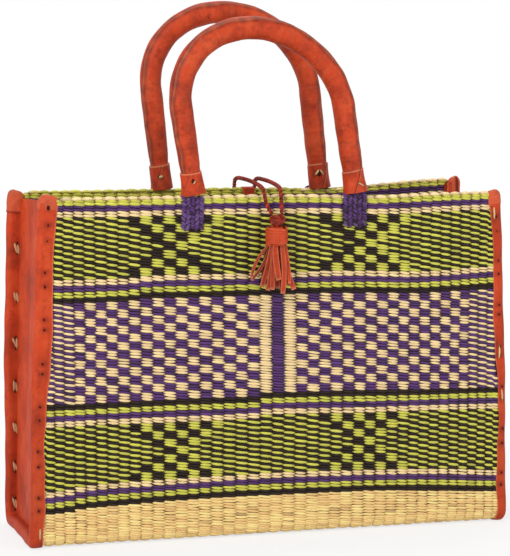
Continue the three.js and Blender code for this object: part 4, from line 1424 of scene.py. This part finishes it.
def make_cuff(arch, foot):
    """Leather wrapped round a foot of the handle."""
    handles = setting("shopper_handles")
    name = f"{arch.name}_{end_name(foot)}"
    low, high = -handles.cuff_foot - CUFF_EXTRA[arch.name], handles.cuff_top
    snug = LEG_SHARE * handles.radius + 0.9 * MM
    across = unit(np.array([arch.top, 0, -arch.sway]))
    seed = 2 * (foot > 0) + (arch.side > 0)
    outside, inside, wear, crease = [], [], [], []
    for level in np.linspace(0, 1, CUFF_LEVELS):
        z = low + (high - low) * level
        seam = math.radians(200 + 25 * seed) + 0.9 * level
        angles, rise = lapped_ring(CUFF_SIDES, seam, 0.8 * MM, 0.7)
        flare = (1 - level) ** 2.2
        wide = snug + CUFF_FLARE[arch.name] * flare
        deep = snug + 0.5 * MM * flare
        folds = 0.35 * MM * flare * np.sin(angles * 7 + seed)
        rise = rise + (folds + 0.15 * MM * np.sin(angles * 3 + level * 5 + seed))
        tip = 0.7 * MM * np.sin(angles + seed) * level
        centre = arch.lean(np.array([foot * arch.span, 0, z]))
        for rings, depth in ((outside, 0), (inside, CUFF_LEATHER)):
            ring = centre + ((wide + rise - depth) * np.cos(angles))[:, None] * across
            ring[:, 1] += (deep + rise - depth) * np.sin(angles)
            ring[:, 2] += tip
            rings.append(ring)
        edge = np.where(np.arange(CUFF_SIDES) == 0, 0.5, 0.0)
        wear.append(np.maximum(edge, 0.75 if level > 0.97 else 0.0))
        # Painted shade: darker on the back cuffs, and towards the foot on all of them, in uneven bands; a
        # dark line along the lap.
        painted_shade = 0.42 - 0.2 * level if arch.side > 0 else 0.12 * flare
        painted_shade = painted_shade + 0.1 * np.sin(angles * 5 + level * 9)
        crease.append(np.where(np.arange(CUFF_SIDES) == CUFF_SIDES - 1, 0.7, painted_shade))
    rings = np.array(outside + inside[::-1])
    rows, columns = rings.shape[:2]
    faces = quads(rows, columns, wrap=True)
    last = (rows - 1) * columns
    faces += [[last + i, last + (i + 1) % columns, (i + 1) % columns, i] for i in range(columns)]
    points = arch.place(rings.reshape(-1, 3))
    piece = make_leather(f"{name}_leather_cuff", None, points, faces, f"{name}_cuff",
                         np.concatenate([*wear, *wear[::-1]]),
                         np.concatenate([*crease, np.zeros(columns * CUFF_LEVELS)]),
                         "handle leather")
    bend(piece, arch)
    sew_cuff(arch, foot, name, np.random.default_rng(60 + seed))


def sew_cuff(arch, foot, name, random):
    """The few stitches and holes that show on the front of a cuff."""
    handles = setting("shopper_handles")
    for straw, long, wide, stitches in CUFF_SEWING[name]:
        radius = LEG_SHARE * handles.radius + (2.3 * MM if straw == "thread" else 1.4 * MM)
        places, axes, normals = [], [], []
        for across, up, tilt in stitches:
            facing = -math.pi / 2 + across * MM / radius
            lean = math.radians(tilt)
            normal = np.array([math.cos(facing), math.sin(facing), 0])
            places.append(arch.lean(np.array([foot * arch.span, 0, up * MM])) + normal * radius)
            level = np.array([-normal[1], normal[0], 0])
            axes.append(math.cos(lean) * level + np.array([0, 0, math.sin(lean)]))
            normals.append(normal)
        shape = straw_shape(long, wide, 1.5, 0.8, 0.8)
        tones = uneven_tones(random, len(places))
        sewn = make_stitches(f"{name}_cuff_{straw}", None, arch.place(np.array(places)), np.array(axes),
                             np.array(normals), straw, shape, tones, None)
        bend(sewn, arch)


def bend(piece, arch):
    """Bakes the transform of a piece into its mesh."""
    handles = setting("shopper_handles")
    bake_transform(piece)


class SHOPPER_OT_handles(Operator):
    """Cover the two arched handles with leather and wrap their feet"""
    bl_idname = "shopper.handles"
    bl_label = "Cover Handles"

    def execute(self, context):
        for name in ("front", "back"):
            arch = Arch(name)
            make_cover(arch)
            for foot in (-1, 1):
                make_cuff(arch, foot)
            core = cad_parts[f"{name}_handle_core"]
            core.data.materials.clear()
            core.data.materials.append(material("core"))
        return {"FINISHED"}


LASHING_COLUMNS, LASHING_ROWS = 5, 14
LASHING_ROW_PITCH = 2.0 * MM


def lash(side, offset, foot):
    """Weaves one patch of purple straw at one foot of a handle, with a dark bed below it that is painted
    shade in the gaps.
    """
    bag, handles, weave = setting("shopper_bag"), setting("shopper_handles"), setting("shopper_weave")
    name = f"{side}_{end_name(foot)}"
    random = np.random.default_rng(weave.seed + 80 + foot + 4 * (side == "back"))
    centre = (offset + foot * handles.half_span) / (1 - bag.rim_narrowing / bag.bag_width)
    grids = np.meshgrid(np.arange(LASHING_ROWS), np.arange(LASHING_COLUMNS), indexing="ij")
    row, column = (grid.ravel() for grid in grids)
    spread = 4.1 * MM if foot < 0 else 4.6 * MM
    across = centre + (column - 2) * spread + random.normal(0, 0.35 * MM, len(row))
    run = 2.2 * MM + row * LASHING_ROW_PITCH + 1.0 * MM * (column % 2)
    run = run + random.normal(0, 0.25 * MM, len(row))
    out = 1.3 * MM + 0.5 * MM * ((row + column) % 2)
    bed_run = np.linspace(3 * MM, 29 * MM, 10)[:, None]
    if side == "back":
        run, bed_run = mat_length() - run, mat_length() - bed_run
    right, down = mat_axes(across, run, out)
    lean = np.where(column % 2 == 1, -0.62, 0.6) + random.normal(0, 0.15, len(row))
    axis = slanted(right, down, lean)
    # Tones run high, more at the left feet, so that many stitches take the painted highlight of the purple
    # straw.
    tones = uneven_tones(random, len(row), 0.68 if foot < 0 else 0.5, 0.34)
    shape = straw_shape(5.6, 2.3, 1.9, 1.2, 1.1)
    make_stitches(f"{name}_purple_lashing", "bag", on_mat(across, run, out), axis, np.cross(down, right),
                  "purple", shape, tones, None, [f"{name}_lashing"])
    # The bed is painted shade, seen in the gaps between the purple stitches.
    bed_across = centre + np.linspace(-8.5, 8.5, 9)[None] * MM
    points, faces = slab(on_mat(bed_across, bed_run, 1.1 * MM), 0.8 * MM)
    make_piece(f"{name}_lashing_bed", "bag", points, faces, material("core"))


class SHOPPER_OT_lashings(Operator):
    """Weave a patch of purple straw onto the mat under each foot of the handles"""
    bl_idname = "shopper.lashings"
    bl_label = "Lash Feet"

    def execute(self, context):
        handles = setting("shopper_handles")
        for side, offset in (("front", handles.front_offset), ("back", handles.back_offset)):
            for foot in (-1, 1):
                lash(side, offset, foot)
        return {"FINISHED"}


# Closure

CORD_STEPS = 150
CORD_PITCH = 5.5 * MM
# Routes of the cords from the tab to the knot, in mm.
LEFT_CORD = ((-2, 65, 285.5), (-2, 65, 291), (-2.2, 64.6, 296.6), (-3, 60.4, 302.2), (-4.2, 49, 305),
             (-5.8, 28, 305.8), (-7.8, 4, 305.7), (-9.8, -20, 305), (-11.8, -40, 303.9),
             (-13.2, -52, 302.8), (-14, -60, 300.8), (-14.4, -65.2, 295.8), (-13.8, -67.6, 290),
             (-12.2, -69.6, 285.5), (-10, -71.2, 281.4))
RIGHT_CORD = ((17, 64, 285.5), (17, 64, 291), (16.8, 63.6, 296.4), (16, 59.6, 301.8), (14.6, 48, 304.4),
              (12.6, 27, 305), (10, 3, 305), (7.4, -20, 304.4), (4.8, -40, 303.4), (2.9, -52, 302.4),
              (1.3, -59.4, 300.8), (0.4, -64.6, 295.8), (-0.2, -67.2, 290), (-0.6, -69.4, 285.5),
              (-1, -71.2, 281.4))


def twisted(path, radius, strands, pitch):
    """Strands laid round each other along a path."""
    side, other = frames_along(path, (1, 0.2, 0.1))
    run = run_along(path)
    bodies = []
    for i in range(strands):
        turn = run / pitch * 2 * math.pi + i / strands * 2 * math.pi
        lay = path + 0.52 * radius * (np.cos(turn)[:, None] * side + np.sin(turn)[:, None] * other)
        bodies.append(strand(lay, 0.5 * radius, 6))
    # The second strand is darker: painted shade that shows the twist.
    crease = np.concatenate([np.full(len(points), 0.45 * i) for i, (points, _) in enumerate(bodies)])
    return *joined(*bodies), crease


class SHOPPER_OT_cords(Operator):
    """Lay the two closure cords from the tab on the back rim over the mouth to the knot"""
    bl_idname = "shopper.cords"
    bl_label = "Lay Cords"

    def execute(self, context):
        radius = setting("shopper_tassel").cord_radius
        for name, route in (("left", LEFT_CORD), ("right", RIGHT_CORD)):
            path = smooth_path(np.array(route) * MM, CORD_STEPS)
            points, faces, crease = twisted(path, radius, 2, CORD_PITCH)
            piece = make_piece(f"{name}_twisted_cord", "bag", points, faces, material("dark leather"),
                               [f"{name}_closure_cord"], {"crease": crease})
        return {"FINISHED"}


# The tab lies this far outside the outer and the inner face of the mat.
TAB_OUTSIDE, TAB_INSIDE = 1.1 * MM + 1.5 * MM, 2.4 * MM
# Heights of its foot and top on the outer face, of its fold, and of its top and foot on the inner face.
TAB_OUTER_FOOT, TAB_OUTER_TOP = 284 * MM, 296 * MM
TAB_FOLD, TAB_FOLD_RISE = 296.2 * MM, 1.6 * MM
TAB_INNER_TOP, TAB_INNER_FOOT = 295.5 * MM, 290 * MM
# It is wide below this height on the outer face.
TAB_WIDE_TOP = 291 * MM
TAB_HALF_FOOT, TAB_HALF_WIDTH = 13.5 * MM, 5.5 * MM
TAB_THICKNESS = 1.3 * MM
TAB_OUTER_ROWS, TAB_FOLD_ROWS, TAB_INNER_ROWS, TAB_COLUMNS = 7, 13, 5, 13


class SHOPPER_OT_tab(Operator):
    """Fold the leather tab over the back rim"""
    bl_idname = "shopper.tab"
    bl_label = "Fold Tab"

    def execute(self, context):
        bag = setting("shopper_bag")
        outer, inner = TAB_OUTSIDE, -bag.mat_thickness - TAB_INSIDE
        middle, half = (outer + inner) / 2, (outer - inner) / 2
        # Up the outer face, over the rim and down the inner face.
        arc = np.linspace(0, math.pi, TAB_FOLD_ROWS)
        out = np.concatenate([np.full(TAB_OUTER_ROWS, outer), middle + half * np.cos(arc),
                              np.full(TAB_INNER_ROWS, inner)])
        height = np.concatenate([np.linspace(TAB_OUTER_FOOT, TAB_OUTER_TOP, TAB_OUTER_ROWS),
                                 TAB_FOLD + TAB_FOLD_RISE * np.sin(arc),
                                 np.linspace(TAB_INNER_TOP, TAB_INNER_FOOT, TAB_INNER_ROWS)])
        # Wide at the outer foot, with a softened step to the narrow rest.
        spread = np.where((out > middle) & (height < TAB_WIDE_TOP), TAB_HALF_FOOT, TAB_HALF_WIDTH)
        spread = np.convolve(np.pad(spread, 1, mode="edge"), [0.25, 0.5, 0.25], mode="valid")
        y = bag.base_depth / 2 + out
        grid = np.array([bag_form(np.stack([bag.tab_middle + part * spread, y, height], 1))
                         for part in np.linspace(-1, 1, TAB_COLUMNS)])
        points, faces = slab(grid[:, ::-1], TAB_THICKNESS)
        wear = np.zeros(grid.shape[:2])
        wear[[0, -1]] = 0.3
        make_leather("closure_tab_leather", "bag", points, faces, "closure_tab",
                     np.tile(wear[:, ::-1].ravel(), 2), np.full(2 * wear.size, 0.2))
        return {"FINISHED"}


# Strips of the tassel: start and end across, depth (front is negative), length against the longest,
# width and curl. All but the length are in mm.
STRIPS = ((-2.4, 0.2, -6.4, 0.72, 5.2, -0.6), (3.8, 4.4, -5.6, 1.0, 4.4, 1.4),
          (-3.4, -5.0, -4.6, 0.92, 3.4, -0.6), (-4.2, -8.6, -3.6, 0.93, 3.8, 1.2),
          (-5.0, -13.8, -3.0, 0.86, 4.4, 0.6), (6.4, 10.4, -3.8, 0.8, 2.6, 1.4),
          (5.8, 15.2, -2.4, 0.93, 4.2, -1.6), (-6.0, -22.6, -1.4, 0.68, 1.7, -5.0),
          (-6.0, -21.8, -0.4, 0.74, 2.0, 1.5), (0.6, 0.6, -1.6, 0.9, 3.8, 0.8),
          (-7.0, -11.0, 2.2, 0.84, 3.6, -1.0), (-2.6, -3.0, 3.6, 0.9, 4.6, 0.5),
          (2.6, 6.4, 3.4, 0.94, 4.6, 0.6), (6.4, 11.8, 1.6, 0.86, 3.8, 1.0))
STRIP_THICKNESS = 0.9 * MM
# Section of the lace wound round the head, up and out, in mm, and how worn it is at each of these points.
LACE_SECTION = ((-1.9, 0.05), (-1.4, 0.85), (0, 1.1), (1.4, 0.85), (1.9, 0.05), (1.3, -0.5), (-1.3, -0.5))
LACE_WEAR = (0.35, 0.1, 0, 0.1, 0.35, 0, 0)
LACE_WINDS, STEPS_PER_WIND = 5.6, 30
LACE_MARGIN = 1.4 * MM
# Knot: half width of the plain curve it follows, thickness of its cord and of the heart inside it.
TREFOIL_HALF = 3.9
KNOT_CORD_RADIUS = 1.75 * MM
KNOT_HEART_RADIUS = 4.6 * MM
KNOT_POINTS, HEART_POINTS = 90, 13


class SHOPPER_OT_tassel(Operator):
    """Tie the tassel: knot, wound head and cut strips"""
    bl_idname = "shopper.tassel"
    bl_label = "Tie Tassel"

    def execute(self, context):
        tassel = setting("shopper_tassel")
        origin = np.array([tassel.x, tassel.y, tassel.z])
        sweep = np.linspace(0, 2 * math.pi, KNOT_POINTS)
        trefoil = np.stack([np.sin(sweep) + 2 * np.sin(2 * sweep), -1.35 * np.sin(3 * sweep),
                            np.cos(sweep) - 2 * np.cos(2 * sweep)], 1)
        knot = trefoil * (tassel.knot_half / TREFOIL_HALF, 2.4 * MM, 1.7 * MM) + (0.6 * MM, 0, 1.2 * MM)
        heart = np.zeros((HEART_POINTS, 3))
        heart[:, 0] = np.linspace(-0.78, 0.78, HEART_POINTS) * tassel.knot_half
        swell = np.sqrt(np.maximum(1 - np.linspace(-0.98, 0.98, HEART_POINTS) ** 2, 0.02))
        points, faces = joined(strand(knot + origin, KNOT_CORD_RADIUS, 8),
                               strand(heart + origin, KNOT_HEART_RADIUS * swell, 10))
        make_piece("tassel_cord_knot", "tassel_top", points, faces, material("dark leather"),
                   ["tassel_knot"])
        self.wind(tassel, origin)
        self.cut_strips(tassel, origin)
        return {"FINISHED"}

    def wind(self, tassel, origin):
        """Flat lace wound round the head."""
        count = int(LACE_WINDS * STEPS_PER_WIND)
        turn = np.linspace(0, LACE_WINDS * 2 * math.pi, count)
        top = -tassel.head_top - LACE_MARGIN
        foot = -tassel.head_top - tassel.head_height + LACE_MARGIN
        level = np.linspace(top, foot, count) + 0.25 * MM * np.sin(turn * 0.7)
        barrel = tassel.head_radius + 0.55 * MM * np.sin(np.linspace(0.4, math.pi - 0.4, count))
        rings = []
        for angle_now, z, radius in zip(turn, level, barrel):
            away = np.array([math.cos(angle_now), math.sin(angle_now), 0])
            rings.append([origin + away * (radius + out * MM) + np.array([0, 0, z + up * MM])
                          for up, out in LACE_SECTION])
        lace = tube(np.array(rings))
        core = np.zeros((12, 3))
        core[:, 2] = np.linspace(top + 1.2 * MM, foot - 1.2 * MM, len(core))
        girth = np.interp(np.arange(len(core)), [0, 2, 9, 11], [0.6, 0.95, 0.98, 0.8])
        head = strand(core + origin, tassel.head_radius * girth, 18)
        points, faces = joined(lace, head)
        wear = np.zeros(len(points))
        wear[:len(lace[0])] = np.tile(LACE_WEAR, len(rings))
        make_leather("tassel_wound_head", "tassel_skirt", points, faces, "tassel_lace", wear,
                     np.zeros(len(points)), sharp=60)

    def cut_strips(self, tassel, origin):
        """Strips of leather below the head: wide ones in front, thin curled ones at the left."""
        top = -tassel.head_top - tassel.head_height + 2 * MM
        steps = np.linspace(0, 1, 15)
        across = np.linspace(-1, 1, 5)
        bodies, wear, crease = [], [], []
        for i, (start, end, depth, long, wide, curl) in enumerate(STRIPS):
            x = start + (end - start) * steps ** 1.3 + curl * np.sin(math.pi * steps)
            y = depth * (0.75 + 0.4 * steps) + 0.5 * np.sin(steps * 6 + i)
            path = np.stack([x * MM, y * MM, top - tassel.fringe * long * steps], 1) + origin
            twist = 0.25 * math.sin(2.3 * i) + 0.5 * steps ** 2 * math.sin(1.7 * i + 1)
            tangent = unit(np.gradient(path, axis=0))
            side = np.stack([np.cos(twist), np.sin(twist), np.zeros(len(steps))], 1)
            side = unit(side - tangent * np.sum(side * tangent, 1, keepdims=True))
            other = np.cross(side, tangent)
            half = wide / 2 * MM * np.interp(steps, [0, 0.25, 0.9, 1], [0.75, 1.0, 1.05, 0.9])
            cup = 0.35 * MM * (1 - across ** 2)
            grid = path[:, None] + (half[:, None] * across[None])[..., None] * side[:, None] \
                + cup[None, :, None] * other[:, None]
            bodies.append(slab(grid, STRIP_THICKNESS))
            edge = np.tile(np.where(np.abs(across) == 1, 0.3, 0.0), len(steps))
            edge[-len(across):] = 0.45
            wear.append(np.concatenate([edge, edge]))
            # Painted shade: strips further back are darker, and all are darker at the top under the head.
            strip_shade = np.interp(depth, (-6, -3, 1), (0.0, 0.2, 0.75)) + 0.25 * (1 - steps) ** 2
            crease.append(np.tile(np.repeat(strip_shade, len(across)), 2))
        points, faces = joined(*bodies)
        make_leather("tassel_cut_strips", "tassel_skirt", points, faces, "tassel_fringe",
                     np.concatenate(wear), np.concatenate(crease))


# Stage

# In millimetres and in metres.
SENSOR_WIDTH = 36
CAMERA_REACH = 50
AMBIENT_LIGHT = 0.62
FLOOR_COLOUR = (0.86, 0.86, 0.86, 1)
FLOOR_HALF = 6.0
# Name, place and diameter in metres, power in watts.
LAMPS = (("key", (-1.35, -1.3, 1.2), 1.1, 24),
         ("fill", (1.3, -1.5, 0.8), 1.4, 9),
         ("crown", (0.1, 0.5, 1.7), 1.2, 9))
LAMP_TARGET = (0, 0, 0.2)


class SHOPPER_OT_stage(Operator):
    """Set the camera, the soft lamps and the pale floor"""
    bl_idname = "shopper.stage"
    bl_label = "Set Stage"

    def execute(self, context):
        stage = setting("shopper_stage")
        scene = context.scene
        scene.view_settings.view_transform = "Standard"
        self.camera(scene, stage)
        for lamp in LAMPS:
            self.lamp(*lamp)
        self.world(scene)
        self.floor()
        return {"FINISHED"}

    def camera(self, scene, stage):
        """Camera on a sphere round its target, turned on its own axis by the roll."""
        data = bpy.data.cameras.new("camera")
        data.lens = stage.lens
        data.sensor_width = SENSOR_WIDTH
        data.clip_end = CAMERA_REACH
        camera = bpy.data.objects.new("camera", data)
        scene.collection.objects.link(camera)
        a, e = stage.azimuth, stage.elevation
        back = np.array([math.sin(a) * math.cos(e), -math.cos(a) * math.cos(e), math.sin(e)])
        place = np.array(stage.target) + back * stage.distance
        right = unit(np.cross((0, 0, 1), back))
        up = np.cross(back, right)
        cos, sin = math.cos(stage.roll), math.sin(stage.roll)
        right, up = right * cos + up * sin, up * cos - right * sin
        axes = np.stack([right, up, back], 1).tolist()
        camera.matrix_world = Matrix([[*row, p] for row, p in zip(axes, place)] + [[0, 0, 0, 1]])
        scene.camera = camera

    def lamp(self, name, place, size, power):
        """Round soft lamp that faces the bag."""
        data = bpy.data.lights.new(name, "AREA")
        data.shape = "DISK"
        data.size = size
        data.energy = power
        lamp = bpy.data.objects.new(name, data)
        bpy.context.collection.objects.link(lamp)
        lamp.location = place
        z = unit(np.array(place) - np.array(LAMP_TARGET))
        x = unit(np.cross((0, 0, 1), z))
        y = np.cross(z, x)
        lamp.rotation_euler = Matrix(np.stack([x, y, z], 1).tolist()).to_euler()

    def world(self, scene):
        """White surroundings that light the bag less than they show."""
        world = bpy.data.worlds.new("studio")
        world.use_nodes = True
        scene.world = world
        tree = world.node_tree
        light = tree.nodes["Background"]
        feed(tree, light.inputs["Color"], WHITE)
        feed(tree, light.inputs["Strength"], AMBIENT_LIGHT)
        shown = add_node(tree, "ShaderNodeBackground", {"Color": WHITE, "Strength": 1.0})
        mix = add_node(tree, "ShaderNodeMixShader",
                       {"Fac": self.seen(tree), 1: light.outputs[0], 2: shown.outputs[0]})
        feed(tree, tree.nodes["World Output"].inputs["Surface"], mix.outputs[0])

    def seen(self, tree):
        """One for rays that show the stage to the camera, straight or by way of a shiny or clear surface."""
        path = add_node(tree, "ShaderNodeLightPath")
        total = path.outputs["Is Camera Ray"]
        for key in ("Is Glossy Ray", "Is Transmission Ray"):
            inputs = {0: total, 1: path.outputs[key]}
            total = add_node(tree, "ShaderNodeMath", inputs, operation="ADD", use_clamp=True).outputs[0]
        return total

    def floor(self):
        """Pale floor that takes the soft shadow of the bag and fades to white away from it."""
        corners = [(x * FLOOR_HALF, y * FLOOR_HALF, 0) for x, y in ((-1, -1), (1, -1), (1, 1), (-1, 1))]
        mesh = bpy.data.meshes.new("floor")
        mesh.from_pydata(corners, [], [(0, 1, 2, 3)])
        made = bpy.data.materials.new("pale floor")
        made.use_nodes = True
        tree = made.node_tree
        surface = tree.nodes["Principled BSDF"]
        feed(tree, surface.inputs["Base Color"], FLOOR_COLOUR)
        feed(tree, surface.inputs["Roughness"], 0.9)
        white = add_node(tree, "ShaderNodeEmission", {"Strength": 1.0})
        place = add_node(tree, "ShaderNodeTexCoord").outputs["Object"]
        away = add_node(tree, "ShaderNodeVectorMath", {0: place}, operation="LENGTH").outputs["Value"]
        spans = {"Value": away, "From Min": 0.28, "From Max": 0.75, "To Min": 0.7, "To Max": 1.0}
        fade = add_node(tree, "ShaderNodeMapRange", spans, interpolation_type="SMOOTHSTEP").outputs["Result"]
        factors = {0: self.seen(tree), 1: fade}
        share = add_node(tree, "ShaderNodeMath", factors, operation="MULTIPLY").outputs[0]
        mix = add_node(tree, "ShaderNodeMixShader",
                       {"Fac": share, 1: surface.outputs[0], 2: white.outputs[0]})
        feed(tree, tree.nodes["Material Output"].inputs["Surface"], mix.outputs[0])
        mesh.materials.append(made)
        floor = bpy.data.objects.new("floor", mesh)
        bpy.context.collection.objects.link(floor)


OPERATORS = (SHOPPER_OT_stage, SHOPPER_OT_cords, SHOPPER_OT_weave, SHOPPER_OT_rims, SHOPPER_OT_leather_ends,
             SHOPPER_OT_handles, SHOPPER_OT_lashings, SHOPPER_OT_tab, SHOPPER_OT_tassel)


class SHOPPER_PT_panel(Panel):
    """Pieces of the shopper"""
    bl_idname = "SHOPPER_PT_panel"
    bl_label = "Straw Shopper"
    bl_space_type = "VIEW_3D"
    bl_region_type = "UI"
    bl_category = "Shopper"

    def draw(self, context):
        for group in GROUPS:
            column = self.layout.column(align=True)
            for key in GROUPS[group].__annotations__:
                column.prop(getattr(context.scene, group), key)
        for operator in OPERATORS:
            self.layout.operator(operator.bl_idname)


CLASSES = (*GROUPS.values(), *OPERATORS, SHOPPER_PT_panel)


def register():
    for cls in CLASSES:
        bpy.utils.register_class(cls)
    for name, group in GROUPS.items():
        setattr(bpy.types.Scene, name, PointerProperty(type=group))


def unregister():
    for name in GROUPS:
        delattr(bpy.types.Scene, name)
    for cls in reversed(CLASSES):
        bpy.utils.unregister_class(cls)


def main():
    register()
    bpy.ops.shopper.stage()
    bpy.ops.shopper.cords()
    bpy.ops.shopper.weave()
    bpy.ops.shopper.rims()
    bpy.ops.shopper.leather_ends()
    bpy.ops.shopper.handles()
    bpy.ops.shopper.lashings()
    bpy.ops.shopper.tab()
    bpy.ops.shopper.tassel()


if __name__ == "__main__":
    main()
